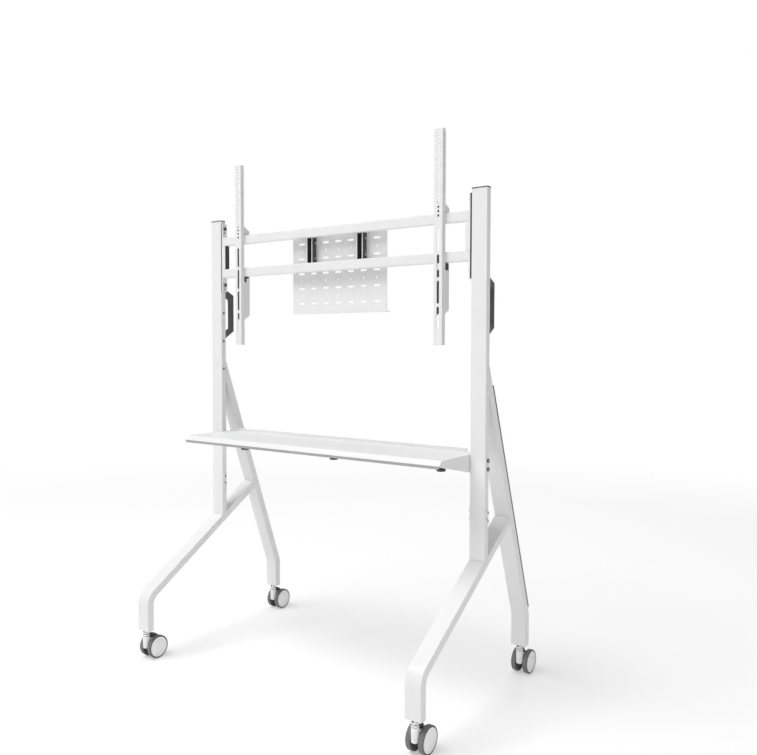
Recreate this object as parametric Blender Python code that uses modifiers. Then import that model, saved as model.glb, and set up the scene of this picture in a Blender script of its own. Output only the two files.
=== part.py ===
"""TV cart: two columns on splayed legs and casters, a screen frame with two sliding arms,
a perforated device plate, a shelf and two handles.

Metres, +Z up. The screen faces -Y. The origin is on the floor in the middle of the cart's box.
Inside the script, x is measured from the middle, y from the columns' front faces and z from the
floor. The empty named cart carries every piece and moves the columns to their place.
"""

from math import asin, atan2, cos, pi, radians, sin, tan

import bmesh
import bpy
from mathutils import Matrix, Vector

# Clearances and small common sizes
GAP = 0.0003  # between pieces that touch
RUNNING_GAP = 0.0006  # round shafts and stems that turn
SHEET = 0.002  # folded sheet steel
TUBE_WALL = 0.002
TUBE_CORNER = 0.0022  # outer corner radius of the square tubes
CUT_PAST = 0.010  # how far a cutter runs past the face that it cuts
HOLLOW_PAST = 0.020  # how far a hollow's cutter runs past the body's own end
FUSE = 0.0008  # how far two welded shapes run into each other
BOLT_RADIUS = 0.004
BOLT_CLEARANCE = 0.0005
BOLT_HEAD_RADIUS = 0.0065
BOLT_HEAD = 0.0035
SHELF_BOLT_HEAD_RADIUS = 0.0050

# Columns
CART_HEIGHT = 1.491
COLUMN_SPACING = 1.064  # between the columns' centre lines
TUBE_WIDTH = 0.050  # across the cart, for columns and legs
COLUMN_DEPTH = 0.021
HOLE_PITCH = 0.100
HOLE_COUNT = 6
TOP_HOLE_DROP = 0.030  # from the cart's top to the highest hole
CAP_THICKNESS = 0.0025
CAP_OVERHANG = 0.001
CAP_PLUG = 0.008

# Front legs
FRONT_REACH = 0.335  # from the columns' front faces to the front feet's front faces
FRONT_LEG_ANGLE = radians(32.65)
FRONT_LEG_DEPTH = 0.025
FRONT_LEG_TOP_Z = 0.431  # of the leg's upper face below the column's front face
FRONT_BEND_RADIUS = 0.0455  # on the centre line
FOOT_Z = 0.098
SPIGOT_TOP_Z = 0.600
LEG_BOLT_Z = (0.547, 0.571)

# Rear legs
REAR_REACH = 0.303  # from the columns' front faces to the rear feet's rear faces
REAR_LEG_ANGLE = radians(70.35)
REAR_LEG_DEPTH = 0.025
REAR_BEND_Z = 0.200

# Cable cover on the back of the right rear leg
COVER_WIDTH = 0.047
COVER_DEPTH = 0.010
COVER_WALL = 0.0015
COVER_LOW_Z = 0.218
COVER_HIGH_Z = 0.929

# Handles
HANDLE_WIDTH = 0.026
HANDLE_REACH = 0.052
HANDLE_GRIP = 0.0085
HANDLE_LOW_Z = 1.063
HANDLE_LENGTH = 0.191
HANDLE_LOW_SLANT = 0.034
HANDLE_HIGH_SLANT = 0.027
HANDLE_FOOT = 0.039
HANDLE_FILLET = 0.010
HANDLE_EDGE = 0.0025

# Shelf
SHELF_Z = 0.7345
SHELF_FRONT = 0.155  # forward of the columns' front faces, to the start of the sloping edge
SHELF_REAR = 0.050
SHELF_SLOPE_RUN = 0.014
SHELF_SLOPE_DROP = 0.0135
SHELF_LIP = 0.0035
UPSTAND_HEIGHT = 0.010
UPSTAND_INSET = 0.035
GUSSET_DROP = 0.0515
GUSSET_REAR = 0.030
SHELF_BOLT_Z = (0.695, 0.719)
SHELF_BOLT_Y = 0.0150
CHANNEL_WIDTH = 0.024
CHANNEL_DROP = 0.0475
BUFFER_RADIUS = 0.014
BUFFER_THICKNESS = 0.008
BUFFER_NECK = 0.0035
BUFFER_NECK_RADIUS = 0.007
BUFFER_SPACING = 0.4046

# Screen frame
FRAME_HOLE = 3  # the frame's lower bolt sits in this hole, counted from the lowest
FRAME_HOLE_STEPS = 2
RAIL_HEIGHT = 0.030
RAIL_DEPTH = 0.021
RAIL_ABOVE_BOLT = 0.025
RAIL_BELOW_BOLT = 0.032
BRACKET_THICKNESS = 0.004
BRACKET_BELOW_BOLT = 0.025
BRACKET_ABOVE_BOLT = 0.016
BRACKET_FLANGE = 0.0115
SPACER_THICKNESS = 0.0034
FRAME_BOLT_LENGTH = 0.012  # inside the column
LOCK_SCREW_DROP = 0.0155
LOCK_SCREW_FORWARD = 0.0035
LOCK_SCREW_RADIUS = 0.0035

# Screen arms
ARM_X = 0.406
ARM_WIDTH = 0.0285
ARM_DEPTH = 0.0114
ARM_STAND_OFF = 0.0032  # from the rails' faces to the arm's lips
ARM_LIP = 0.0037
ARM_LENGTH = 0.622
ARM_BELOW_RAIL = 0.239
ARM_HOLE_RADIUS = 0.0036
ARM_HOLE_PITCH = 0.0125
ARM_TOP_HOLES = 20
ARM_BOTTOM_HOLES = 3
ARM_END = 0.011  # from the arm's end to the nearest hole's centre
ARM_SLOTS = 4
ARM_SLOT_WIDTH = 0.008
ARM_SLOT_BRIDGE = 0.0083  # left between two slots
ARM_SLOT_GAP_ABOVE = 0.036  # from the last top hole's centre to the first slot
ARM_SLOT_GAP_BELOW = 0.0086  # from the last slot to the next bottom hole's centre

# Hooks and latches on the arms
CHEEK = 0.003
HOOK_WIDTH = 0.0238
HOOK_RISE = 0.032  # at the arm
HOOK_BACK_RISE = 0.0155  # at the back
HOOK_REACH = 0.0076  # behind the rail
HOOK_NOSE = 0.026  # down behind the rail
HOUSING_DROP = 0.152
HOUSING_SLOPE_RUN = 0.029
HOUSING_SLOPE_RISE = 0.0165
HOUSING_BACK_HEIGHT = 0.060
CATCH_WIDTH = 0.012
CATCH_PIVOT_Y = 0.0024
CATCH_PIVOT_DROP = 0.0065  # below the rail
CATCH_PIVOT_RADIUS = 0.0035
CATCH_THICKNESS = 0.004
CATCH_RISE = 0.010  # behind the rail
TAB_THICKNESS = 0.0018  # of the release tabs outside the cheeks
TAB_BACK = 0.0195  # from the pivot back to the tabs' rear edge
TAB_DROP = 0.0205  # from the rail down to the tabs' lower edge
TAB_CORNER = 0.005  # cut off at the lower front
TAB_BAR = 0.0055  # height of the inner tab's upper bar
TAB_LEG = 0.0082  # depth of the inner tab's leg

# Hanger brackets and device plate
HANGER_X = 0.103
HANGER_WIDTH = 0.024
HANGER_FRONT_Y = 0.012
HANGER_OVERLAP = 0.022  # up behind the upper rail, and down behind the lower one
PLATE_WIDTH = 0.386
PLATE_Y = 0.033
PLATE_ABOVE_RAIL_BOTTOM = 0.021
PLATE_LOW_DROP = 0.135  # below the lower rail
PLATE_FLANGE = 0.020
SLOT_LENGTH = 0.027
SLOT_HEIGHT = 0.006
SLOT_COLUMNS = 7
SLOT_ROWS = 5
SLOT_PITCH_X = 0.0515
SLOT_PITCH_Z = 0.0495
SLOT_LOWEST = 0.034  # from the plate's lower edge to the lowest row
EYELET_WIDTH = 0.005
EYELET_HEIGHT = 0.010

# Casters
WHEEL_RADIUS = 0.0375
WHEEL_WIDTH = 0.016
WHEEL_SPREAD = 0.0115  # from the caster's middle to a wheel's inner face
CASTER_TRAIL = 0.0304
AXLE_RADIUS = 0.004
STEM_RADIUS = 0.005
COLLAR_RADIUS = 0.0108
COLLAR_HEIGHT = 0.0125
HOOD_TUBE_RADIUS = 0.0109
HOOD_TUBE_LOW_Z = 0.040
HOOD_RADIUS = 0.022
HOOD_LOW = 0.010  # below the axle
STEM_DEPTH = 0.024  # into the hood
FOOT_PLATE = 0.005
HUB_RADIUS = 0.0325
HUB_RECESS = 0.0008
TYRE_SHOULDER = 0.003
PEDAL_WIDTH = 0.017
PEDAL_THICKNESS = 0.0045
PEDAL_FORE = 0.0084  # from the pivot forward to the pedal's front end
PEDAL_FORE_RISE = 0.0082  # from the pivot up to the front end's upper edge
PEDAL_BEND = 0.006  # from the pivot back to the bend
PEDAL_BEND_RISE = 0.001
PEDAL_LENGTH = 0.0475  # from the pivot back to the tip
PEDAL_DROP = 0.0275  # from the pivot down to the tip's upper edge
PEDAL_PIVOT_BACK = 0.020  # behind the stem
PEDAL_KNUCKLE_RADIUS = 0.0035
PEDAL_PIN_RADIUS = 0.002
PEDAL_LIFT = 0.0195  # from the hood's crown to the pedal's pivot
PEDAL_EAR = 0.002  # thickness of the hood's ears on each side of the pedal
PEDAL_EAR_ABOVE = 0.0035  # the pivot
PEDAL_EAR_BEHIND = 0.0045  # the pivot
HOOD_BLOCK_BELOW = 0.009  # from the pivot down to the block between the ears
WHEEL_STEPS = 24
ROUND_STEPS = 16
BOLT_STEPS = 12
HOLE_STEPS = 10

# Worked out from the sizes above
COLUMN_INNER_X = COLUMN_SPACING / 2 - TUBE_WIDTH / 2
COLUMN_MIDDLE_Y = COLUMN_DEPTH / 2
COLUMN_TOP_Z = CART_HEIGHT - CAP_THICKNESS - GAP
FRONT_STEM_Y = FRONT_LEG_DEPTH / 2 - FRONT_REACH
REAR_STEM_Y = REAR_REACH - REAR_LEG_DEPTH / 2
REARMOST_Y = REAR_STEM_Y + CASTER_TRAIL + WHEEL_RADIUS
REAR_LEG_TOP_Z = REAR_BEND_Z + (REAR_REACH - COLUMN_DEPTH) * tan(REAR_LEG_ANGLE)
COLUMN_FRONT_Y = (FRONT_REACH - REARMOST_Y) / 2
FIRST_HOLE_Z = CART_HEIGHT - TOP_HOLE_DROP - (HOLE_COUNT - 1) * HOLE_PITCH
LOWER_BOLT_Z = FIRST_HOLE_Z + FRAME_HOLE * HOLE_PITCH
UPPER_BOLT_Z = LOWER_BOLT_Z + FRAME_HOLE_STEPS * HOLE_PITCH
LOWER_RAIL_Z = LOWER_BOLT_Z + RAIL_ABOVE_BOLT
UPPER_RAIL_Z = UPPER_BOLT_Z - RAIL_BELOW_BOLT - RAIL_HEIGHT
BRACKET_OUTER_X = COLUMN_INNER_X - GAP - SPACER_THICKNESS - GAP
BRACKET_INNER_X = BRACKET_OUTER_X - BRACKET_THICKNESS
RAIL_END_X = BRACKET_INNER_X - GAP
ARM_LOW_Z = LOWER_RAIL_Z - ARM_BELOW_RAIL
ARM_HOLES_SPAN = (ARM_TOP_HOLES + ARM_BOTTOM_HOLES - 2) * ARM_HOLE_PITCH
ARM_SLOTS_GAPS = ARM_SLOT_GAP_ABOVE + ARM_SLOT_GAP_BELOW + (ARM_SLOTS - 1) * ARM_SLOT_BRIDGE
ARM_SLOT_LENGTH = (ARM_LENGTH - 2 * ARM_END - ARM_HOLES_SPAN - ARM_SLOTS_GAPS) / ARM_SLOTS
ARM_SLOT_PITCH = ARM_SLOT_LENGTH + ARM_SLOT_BRIDGE
ARM_SLOT_START = ARM_SLOT_GAP_ABOVE + ARM_SLOT_LENGTH / 2
HOOK_BACK_Y = RAIL_DEPTH + HOOK_REACH
ARM_FRONT_Y = -(ARM_STAND_OFF + ARM_DEPTH)
ARM_INSIDE_Y = ARM_FRONT_Y + SHEET + GAP
STEM_LOW_Z = FOOT_Z - COLLAR_HEIGHT - STEM_DEPTH

# Axes of an outline's plane: its own x, its own y, and the way it is extruded
TURN_YZ = Matrix(((0, 0, 1), (1, 0, 0), (0, 1, 0))).to_4x4()
TURN_XZ = Matrix(((1, 0, 0), (0, 0, -1), (0, 1, 0))).to_4x4()
TURN_XY = Matrix.Identity(4)

WHITE_PAINT = ("white_paint", (0.83, 0.83, 0.83), 0.42, 0.0)
DARK_PAINT = ("dark_paint", (0.055, 0.055, 0.06), 0.5, 0.1)
BLACK_PLASTIC = ("black_plastic", (0.03, 0.03, 0.032), 0.5, 0.0)
GREY_PLASTIC = ("grey_plastic", (0.10, 0.10, 0.105), 0.55, 0.0)
WHITE_PLASTIC = ("white_plastic", (0.80, 0.80, 0.80), 0.35, 0.0)
TYRE_RUBBER = ("tyre_rubber", (0.14, 0.14, 0.145), 0.7, 0.0)
BUFFER_RUBBER = ("buffer_rubber", (0.05, 0.05, 0.05), 0.8, 0.0)
ZINC_STEEL = ("zinc_steel", (0.62, 0.62, 0.62), 0.35, 0.9)


def clear_scene():
    for obj in list(bpy.data.objects):
        bpy.data.objects.remove(obj, do_unlink=True)


def new_collection(name):
    collection = bpy.data.collections.new(name)
    bpy.context.scene.collection.children.link(collection)
    return collection


def new_material(node_name, finish):
    """A material of the piece's own, with one of the finishes above."""
    label, colour, roughness, metallic = finish
    material = bpy.data.materials.new(f"{node_name}_{label}")
    material.use_nodes = True
    shader = material.node_tree.nodes["Principled BSDF"]
    shader.inputs["Base Color"].default_value = (*colour, 1.0)
    shader.inputs["Roughness"].default_value = roughness
    shader.inputs["Metallic"].default_value = metallic
    return material


def close_up(mesh, distance=0.000001):
    """Welds a mesh's seams and turns its faces outwards."""
    shape = bmesh.new()
    shape.from_mesh(mesh)
    bmesh.ops.remove_doubles(shape, verts=shape.verts, dist=distance)
    bmesh.ops.recalc_face_normals(shape, faces=shape.faces)
    shape.to_mesh(mesh)
    shape.free()


def outline_mesh(loops, thickness, turn, middle=(0.0, 0.0, 0.0)):
    """A flat outline, with any holes as further loops, filled and given a thickness."""
    curve = bpy.data.curves.new("outline", "CURVE")
    curve.dimensions = "2D"
    curve.fill_mode = "BOTH"
    curve.extrude = thickness / 2
    for loop in loops:
        spline = curve.splines.new("POLY")
        spline.points.add(len(loop) - 1)
        for point, (across, along) in zip(spline.points, loop):
            point.co = (across, along, 0.0, 1.0)
        spline.use_cyclic_u = True
    flat = bpy.data.objects.new("outline", curve)
    bpy.context.scene.collection.objects.link(flat)
    graph = bpy.context.evaluated_depsgraph_get()
    mesh = bpy.data.meshes.new_from_object(flat.evaluated_get(graph))
    bpy.data.objects.remove(flat, do_unlink=True)
    bpy.data.curves.remove(curve)
    mesh.transform(turn)
    mesh.transform(Matrix.Translation(middle))
    close_up(mesh)
    return mesh


def box_mesh(low, high):
    shape = bmesh.new()
    bmesh.ops.create_cube(shape, size=1.0)
    sides = [b - a for a, b in zip(low, high)]
    middle = [(a + b) / 2 for a, b in zip(low, high)]
    bmesh.ops.scale(shape, vec=sides, verts=shape.verts)
    bmesh.ops.translate(shape, vec=middle, verts=shape.verts)
    mesh = bpy.data.meshes.new("box")
    shape.to_mesh(mesh)
    shape.free()
    return mesh


def rod_mesh(radius, start, end, steps=ROUND_STEPS):
    """A cylinder from one point to another."""
    start = Vector(start)
    end = Vector(end)
    shape = bmesh.new()
    bmesh.ops.create_cone(
        shape,
        cap_ends=True,
        segments=steps,
        radius1=radius,
        radius2=radius,
        depth=(end - start).length,
    )
    turn = (end - start).to_track_quat("Z", "X").to_matrix()
    bmesh.ops.rotate(shape, matrix=turn, verts=shape.verts)
    bmesh.ops.translate(shape, vec=(start + end) / 2, verts=shape.verts)
    mesh = bpy.data.meshes.new("rod")
    shape.to_mesh(mesh)
    shape.free()
    return mesh


def joined_mesh(meshes):
    """Separate closed shapes in one mesh, for a cutter that makes several holes."""
    shape = bmesh.new()
    for mesh in meshes:
        shape.from_mesh(mesh)
        bpy.data.meshes.remove(mesh)
    mesh = bpy.data.meshes.new("group")
    shape.to_mesh(mesh)
    shape.free()
    return mesh


def add_piece(name, mesh, finish, origin=(0.0, 0.0, 0.0), smooth_below=None):
    """An object of the cart, with its own material, whose origin is where the piece turns."""
    mesh.name = name
    mesh.transform(Matrix.Translation(-Vector(origin)))
    mesh.materials.clear()
    mesh.materials.append(new_material(name, finish))
    if smooth_below is not None:
        mesh.shade_smooth()
        mesh.set_sharp_from_angle(angle=smooth_below)
    piece = bpy.data.objects.new(name, mesh)
    parts.objects.link(piece)
    piece.parent = cart
    piece.location = origin
    return piece


def add_cutter(name, mesh, origin):
    mesh.name = name
    mesh.transform(Matrix.Translation(-Vector(origin)))
    cutter = bpy.data.objects.new(name, mesh)
    cutters.objects.link(cutter)
    cutter.parent = cart
    cutter.location = origin
    cutter.hide_render = True
    cutter.display_type = "WIRE"
    return cutter


def combine(piece, mesh, operation, label):
    """Cuts a shape from a piece, joins one to it, or keeps what the two share."""
    helper = add_cutter(f"{piece.name}_{label}", mesh, piece.location)
    modifier = piece.modifiers.new(label, "BOOLEAN")
    modifier.operation = operation
    modifier.object = helper
    return helper


def cut(piece, mesh, label):
    return combine(piece, mesh, "DIFFERENCE", label)


def weld_on(piece, mesh, label):
    return combine(piece, mesh, "UNION", label)


def round_edges(piece, width, segments=2, above=radians(50)):
    modifier = piece.modifiers.new("rounded_edges", "BEVEL")
    modifier.width = width
    modifier.segments = segments
    modifier.limit_method = "ANGLE"
    modifier.angle_limit = above
    piece.modifiers.new("flat_faces", "TRIANGULATE")


def turned_piece(name, profile, finish, origin, turn, steps=ROUND_STEPS):
    """A turned piece from a profile of radius and height, turned from Z to its own axis."""
    mesh = bpy.data.meshes.new(name)
    points = [(radius, 0.0, height) for radius, height in profile]
    edges = [(i, i + 1) for i in range(len(points) - 1)]
    mesh.from_pydata(points, edges, [])
    piece = bpy.data.objects.new(name, mesh)
    parts.objects.link(piece)
    piece.parent = cart
    piece.matrix_local = Matrix.Translation(origin) @ turn
    add_screw(piece, steps)
    mesh.materials.append(new_material(name, finish))
    return piece


def arc(centre, radius, start, end, steps):
    """Points on an arc, from one angle to another."""
    step = (end - start) / steps
    return [
        (centre[0] + radius * cos(start + i * step), centre[1] + radius * sin(start + i * step))
        for i in range(steps + 1)
    ]


def rounded_rectangle(width, height, radius, middle=(0.0, 0.0), steps=3):
    across = width / 2 - radius
    along = height / 2 - radius
    corners = ((across, along), (-across, along), (-across, -along), (across, -along))
    points = []
    for i, (x, y) in enumerate(corners):
        points += arc((middle[0] + x, middle[1] + y), radius, i * pi / 2, (i + 1) * pi / 2, steps)
    return points


def circle(radius, middle, steps=ROUND_STEPS):
    return arc(middle, radius, 0.0, 2 * pi * (1 - 1 / steps), steps - 1)


def slot(length, width, middle, upright, steps=4):
    """A slot's outline: two half circles joined by straight sides."""
    radius = width / 2
    reach = length / 2 - radius
    turned = pi / 2 if upright else 0.0
    step = (reach * cos(turned), reach * sin(turned))
    first = (middle[0] + step[0], middle[1] + step[1])
    second = (middle[0] - step[0], middle[1] - step[1])
    quarter = pi / 2
    return arc(first, radius, turned - quarter, turned + quarter, steps) + arc(
        second, radius, turned + quarter, turned + 3 * quarter, steps
    )


def tube_loops(width, depth, wall, corner, middle):
    inner_corner = max(corner - wall, wall / 4)
    return [
        rounded_rectangle(width, depth, corner, middle),
        rounded_rectangle(width - 2 * wall, depth - 2 * wall, inner_corner, middle, steps=1),
    ]


def turned_mesh(profile, start, toward, steps):
    """A closed shape turned about the line from start toward a point, from its profile."""
    mesh = bpy.data.meshes.new("profile")
    points = [(radius, 0.0, height) for radius, height in profile]
    mesh.from_pydata(points, [(i, i + 1) for i in range(len(points) - 1)], [])
    line = bpy.data.objects.new("profile", mesh)
    bpy.context.scene.collection.objects.link(line)
    add_screw(line, steps)
    graph = bpy.context.evaluated_depsgraph_get()
    turned = bpy.data.meshes.new_from_object(line.evaluated_get(graph))
    bpy.data.objects.remove(line, do_unlink=True)
    bpy.data.meshes.remove(mesh)
    start = Vector(start)
    turn = (Vector(toward) - start).to_track_quat("Z", "X").to_matrix().to_4x4()
    turned.transform(Matrix.Translation(start) @ turn)
    close_up(turned)
    return turned


def add_screw(piece, steps):
    screw = piece.modifiers.new("turned", "SCREW")
    screw.axis = "Z"
    screw.steps = steps
    screw.render_steps = steps
    screw.use_merge_vertices = True
    screw.merge_threshold = 0.00001
    screw.use_smooth_shade = True


def weld_bolt(piece, label, ends, y, z, radius=BOLT_HEAD_RADIUS, head=BOLT_HEAD, nut=False):
    """A bolt across the cart between two x ends, with its head, and any nut, beyond them."""
    shank = abs(ends[1] - ends[0])
    profile = [(0.0, shank + head), (radius, shank + head), (radius, shank), (BOLT_RADIUS, shank)]
    profile.append((BOLT_RADIUS, 0.0))
    if nut:
        profile += [(radius, 0.0), (radius, -head), (0.0, -head)]
    else:
        profile.append((0.0, 0.0))
    weld_on(piece, turned_mesh(profile, (ends[0], y, z), (ends[1], y, z), BOLT_STEPS), label)


def front_leg_path():
    """The centre line's bend: where its arc is centred, and the leg's direction above it."""
    direction = (cos(FRONT_LEG_ANGLE), sin(FRONT_LEG_ANGLE))
    half_drop = FRONT_LEG_DEPTH / 2 / cos(FRONT_LEG_ANGLE)
    corner_z = FRONT_LEG_TOP_Z - half_drop + FRONT_STEM_Y * tan(FRONT_LEG_ANGLE)
    tangent = FRONT_BEND_RADIUS * tan((pi / 2 - FRONT_LEG_ANGLE) / 2)
    centre = (FRONT_STEM_Y + FRONT_BEND_RADIUS, corner_z - tangent)
    return direction, centre


def front_leg_loop(inset, past_foot, past_end, steps=7):
    """The leg's side outline, drawn in by inset all along, from below the foot to past its end."""
    direction, centre = front_leg_path()
    half = FRONT_LEG_DEPTH / 2 - inset
    turn_end = pi / 2 + FRONT_LEG_ANGLE
    outer = arc(centre, FRONT_BEND_RADIUS + half, pi, turn_end, steps)
    inner = arc(centre, FRONT_BEND_RADIUS - half, pi, turn_end, steps)
    end_y = rear_leg_front_y(FRONT_LEG_TOP_Z + COLUMN_DEPTH) + past_end
    upper_end = (end_y, outer[-1][1] + (end_y - outer[-1][0]) * direction[1] / direction[0])
    lower_end = (end_y, inner[-1][1] + (end_y - inner[-1][0]) * direction[1] / direction[0])
    foot = FOOT_Z - past_foot
    return (
        [(outer[0][0], foot)]
        + outer
        + [upper_end, lower_end]
        + inner[::-1]
        + [(inner[0][0], foot)]
    )


def rear_leg_back_y(z):
    return REAR_REACH - (z - REAR_BEND_Z) / tan(REAR_LEG_ANGLE)


def rear_leg_front_y(z):
    return rear_leg_back_y(z) - REAR_LEG_DEPTH / sin(REAR_LEG_ANGLE)


def rear_leg_loop(inset, past_foot, past_top):
    """The rear leg's side outline, with a mitred bend where the foot turns upright."""
    half_turn = (pi / 2 - REAR_LEG_ANGLE) / 2
    back = REAR_REACH - inset
    front = REAR_REACH - REAR_LEG_DEPTH + inset
    back_bend_z = REAR_BEND_Z - inset * tan(half_turn)
    front_bend_z = REAR_BEND_Z - (REAR_LEG_DEPTH - inset) * tan(half_turn)
    top_z = REAR_LEG_TOP_Z + past_top
    foot = FOOT_Z - past_foot
    slant = 1 / tan(REAR_LEG_ANGLE)
    return [
        (back, foot),
        (back, back_bend_z),
        (back - (top_z - back_bend_z) * slant, top_z),
        (front - (top_z - front_bend_z) * slant, top_z),
        (front, front_bend_z),
        (front, foot),
    ]


def half_space_yz(point, normal, size=0.25):
    """A block in the side view whose near face has a point of that view in its middle."""
    length = (normal[0] ** 2 + normal[1] ** 2) ** 0.5
    away = (normal[0] / length, normal[1] / length)
    along = (-away[1], away[0])
    corners = []
    for far, side in ((0, -1), (0, 1), (1, 1), (1, -1)):
        corners.append(
            tuple(
                point[i] + away[i] * size * far + along[i] * size * side for i in range(2)
            )
        )
    return corners


def add_column(side, sign):
    """A tube with adjusting holes in its inner wall and its foot cut to the leg's slope."""
    middle_x = sign * COLUMN_SPACING / 2
    loops = tube_loops(
        TUBE_WIDTH, COLUMN_DEPTH, TUBE_WALL, TUBE_CORNER, (middle_x, COLUMN_MIDDLE_Y)
    )
    low = FRONT_LEG_TOP_Z - CUT_PAST
    mesh = outline_mesh(loops, COLUMN_TOP_Z - low, TURN_XY, (0, 0, (COLUMN_TOP_Z + low) / 2))
    column = add_piece(f"{side}_column", mesh, WHITE_PAINT, smooth_below=radians(35))
    slope = (sin(FRONT_LEG_ANGLE), -cos(FRONT_LEG_ANGLE))
    seat = half_space_yz((0.0, FRONT_LEG_TOP_Z + GAP / cos(FRONT_LEG_ANGLE)), slope)
    cut(column, outline_mesh([seat], 3 * TUBE_WIDTH, TURN_YZ, (middle_x, 0, 0)), "foot_slope")
    inner_x = sign * COLUMN_INNER_X
    outer_x = sign * (COLUMN_INNER_X + TUBE_WIDTH)
    past = sign * CUT_PAST
    wall = sign * TUBE_WALL
    hole = BOLT_RADIUS + BOLT_CLEARANCE
    rods = []
    for i in range(HOLE_COUNT):
        z = FIRST_HOLE_Z + i * HOLE_PITCH
        ends = ((inner_x - past, COLUMN_MIDDLE_Y, z), (inner_x + 2 * wall, COLUMN_MIDDLE_Y, z))
        rods.append(rod_mesh(hole, *ends, steps=HOLE_STEPS))
    for z in LEG_BOLT_Z:
        ends = ((inner_x - past, COLUMN_MIDDLE_Y, z), (outer_x + past, COLUMN_MIDDLE_Y, z))
        rods.append(rod_mesh(hole, *ends, steps=HOLE_STEPS))
    for z in SHELF_BOLT_Z:
        ends = ((inner_x - past, SHELF_BOLT_Y, z), (outer_x + past, SHELF_BOLT_Y, z))
        rods.append(rod_mesh(hole, *ends, steps=HOLE_STEPS))
    cut(column, joined_mesh(rods), "holes")


def add_column_cap(side, sign):
    middle = (sign * COLUMN_SPACING / 2, COLUMN_MIDDLE_Y)
    width = TUBE_WIDTH + 2 * CAP_OVERHANG
    depth = COLUMN_DEPTH + 2 * CAP_OVERHANG
    lid = rounded_rectangle(width, depth, TUBE_CORNER + CAP_OVERHANG, middle)
    lid_mesh = outline_mesh([lid], CAP_THICKNESS, TURN_XY, (0, 0, CART_HEIGHT - CAP_THICKNESS / 2))
    cap = add_piece(f"{side}_column_cap", lid_mesh, GREY_PLASTIC, smooth_below=radians(35))
    inside = 2 * (TUBE_WALL + GAP)
    plug = rounded_rectangle(TUBE_WIDTH - inside, COLUMN_DEPTH - inside, TUBE_WALL / 2, middle, 1)
    plug_height = CAP_PLUG + FUSE
    plug_z = CART_HEIGHT - CAP_THICKNESS + FUSE - plug_height / 2
    weld_on(cap, outline_mesh([plug], plug_height, TURN_XY, (0, 0, plug_z)), "plug")


def add_front_leg(side, sign):
    """A bent tube from the foot up to the rear leg, with the spigot that holds the column."""
    middle_x = sign * COLUMN_SPACING / 2
    past = CUT_PAST
    body = outline_mesh(
        [front_leg_loop(0.0, past, past)], TUBE_WIDTH, TURN_YZ, (middle_x, 0, 0)
    )
    name = f"{side}_front_leg"
    origin = (middle_x, 0.0, 0.0)
    leg = add_piece(name, body, WHITE_PAINT, origin=origin, smooth_below=radians(35))
    round_edges(leg, TUBE_CORNER)
    below = half_space_yz((FRONT_STEM_Y, FOOT_Z), (0.0, -1.0))
    cut(leg, outline_mesh([below], 3 * TUBE_WIDTH, TURN_YZ, (middle_x, 0, 0)), "foot_end")
    back = (sin(REAR_LEG_ANGLE), cos(REAR_LEG_ANGLE))
    seat_z = FRONT_LEG_TOP_Z + COLUMN_DEPTH
    seat_y = rear_leg_front_y(seat_z) - GAP / sin(REAR_LEG_ANGLE)
    behind = half_space_yz((seat_y, seat_z), back)
    cut(leg, outline_mesh([behind], 3 * TUBE_WIDTH, TURN_YZ, (middle_x, 0, 0)), "rear_end")
    hollow = outline_mesh(
        [front_leg_loop(TUBE_WALL, HOLLOW_PAST, HOLLOW_PAST)],
        TUBE_WIDTH - 2 * TUBE_WALL,
        TURN_YZ,
        (middle_x, 0, 0),
    )
    cut(leg, hollow, "hollow")
    add_spigot(leg, sign, middle_x)


def add_spigot(leg, sign, middle_x):
    """The tube that stands on the leg's upper wall inside the column, with its two bolts."""
    inside = 2 * (TUBE_WALL + GAP)
    loops = tube_loops(
        TUBE_WIDTH - inside,
        COLUMN_DEPTH - inside,
        TUBE_WALL,
        TUBE_WALL / 2,
        (middle_x, COLUMN_MIDDLE_Y),
    )
    low = FRONT_LEG_TOP_Z - CUT_PAST
    spigot = outline_mesh(loops, SPIGOT_TOP_Z - low, TURN_XY, (0, 0, (SPIGOT_TOP_Z + low) / 2))
    helper = weld_on(leg, spigot, "spigot")
    slope = (sin(FRONT_LEG_ANGLE), -cos(FRONT_LEG_ANGLE))
    weld_line = half_space_yz((0.0, FRONT_LEG_TOP_Z - FUSE), slope)
    cut(helper, outline_mesh([weld_line], 3 * TUBE_WIDTH, TURN_YZ, (middle_x, 0, 0)), "foot")
    ends = (sign * (COLUMN_INNER_X - GAP), sign * (COLUMN_INNER_X + TUBE_WIDTH + GAP))
    for i, z in enumerate(LEG_BOLT_Z):
        weld_bolt(leg, f"bolt_{i + 1}", ends, COLUMN_MIDDLE_Y, z, nut=True)


def add_rear_leg(side, sign):
    middle_x = sign * COLUMN_SPACING / 2
    past = CUT_PAST
    body = outline_mesh([rear_leg_loop(0.0, past, past)], TUBE_WIDTH, TURN_YZ, (middle_x, 0, 0))
    name = f"{side}_rear_leg"
    origin = (middle_x, 0.0, 0.0)
    leg = add_piece(name, body, WHITE_PAINT, origin=origin, smooth_below=radians(15))
    round_edges(leg, TUBE_CORNER)
    below = half_space_yz((REAR_STEM_Y, FOOT_Z), (0.0, -1.0))
    cut(leg, outline_mesh([below], 3 * TUBE_WIDTH, TURN_YZ, (middle_x, 0, 0)), "foot_end")
    before = half_space_yz((COLUMN_DEPTH + GAP, REAR_LEG_TOP_Z), (-1.0, 0.0))
    cut(leg, outline_mesh([before], 3 * TUBE_WIDTH, TURN_YZ, (middle_x, 0, 0)), "top_end")
    hollow = outline_mesh(
        [rear_leg_loop(TUBE_WALL, HOLLOW_PAST, HOLLOW_PAST)],
        TUBE_WIDTH - 2 * TUBE_WALL,
        TURN_YZ,
        (middle_x, 0, 0),
    )
    cut(leg, hollow, "hollow")


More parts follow.
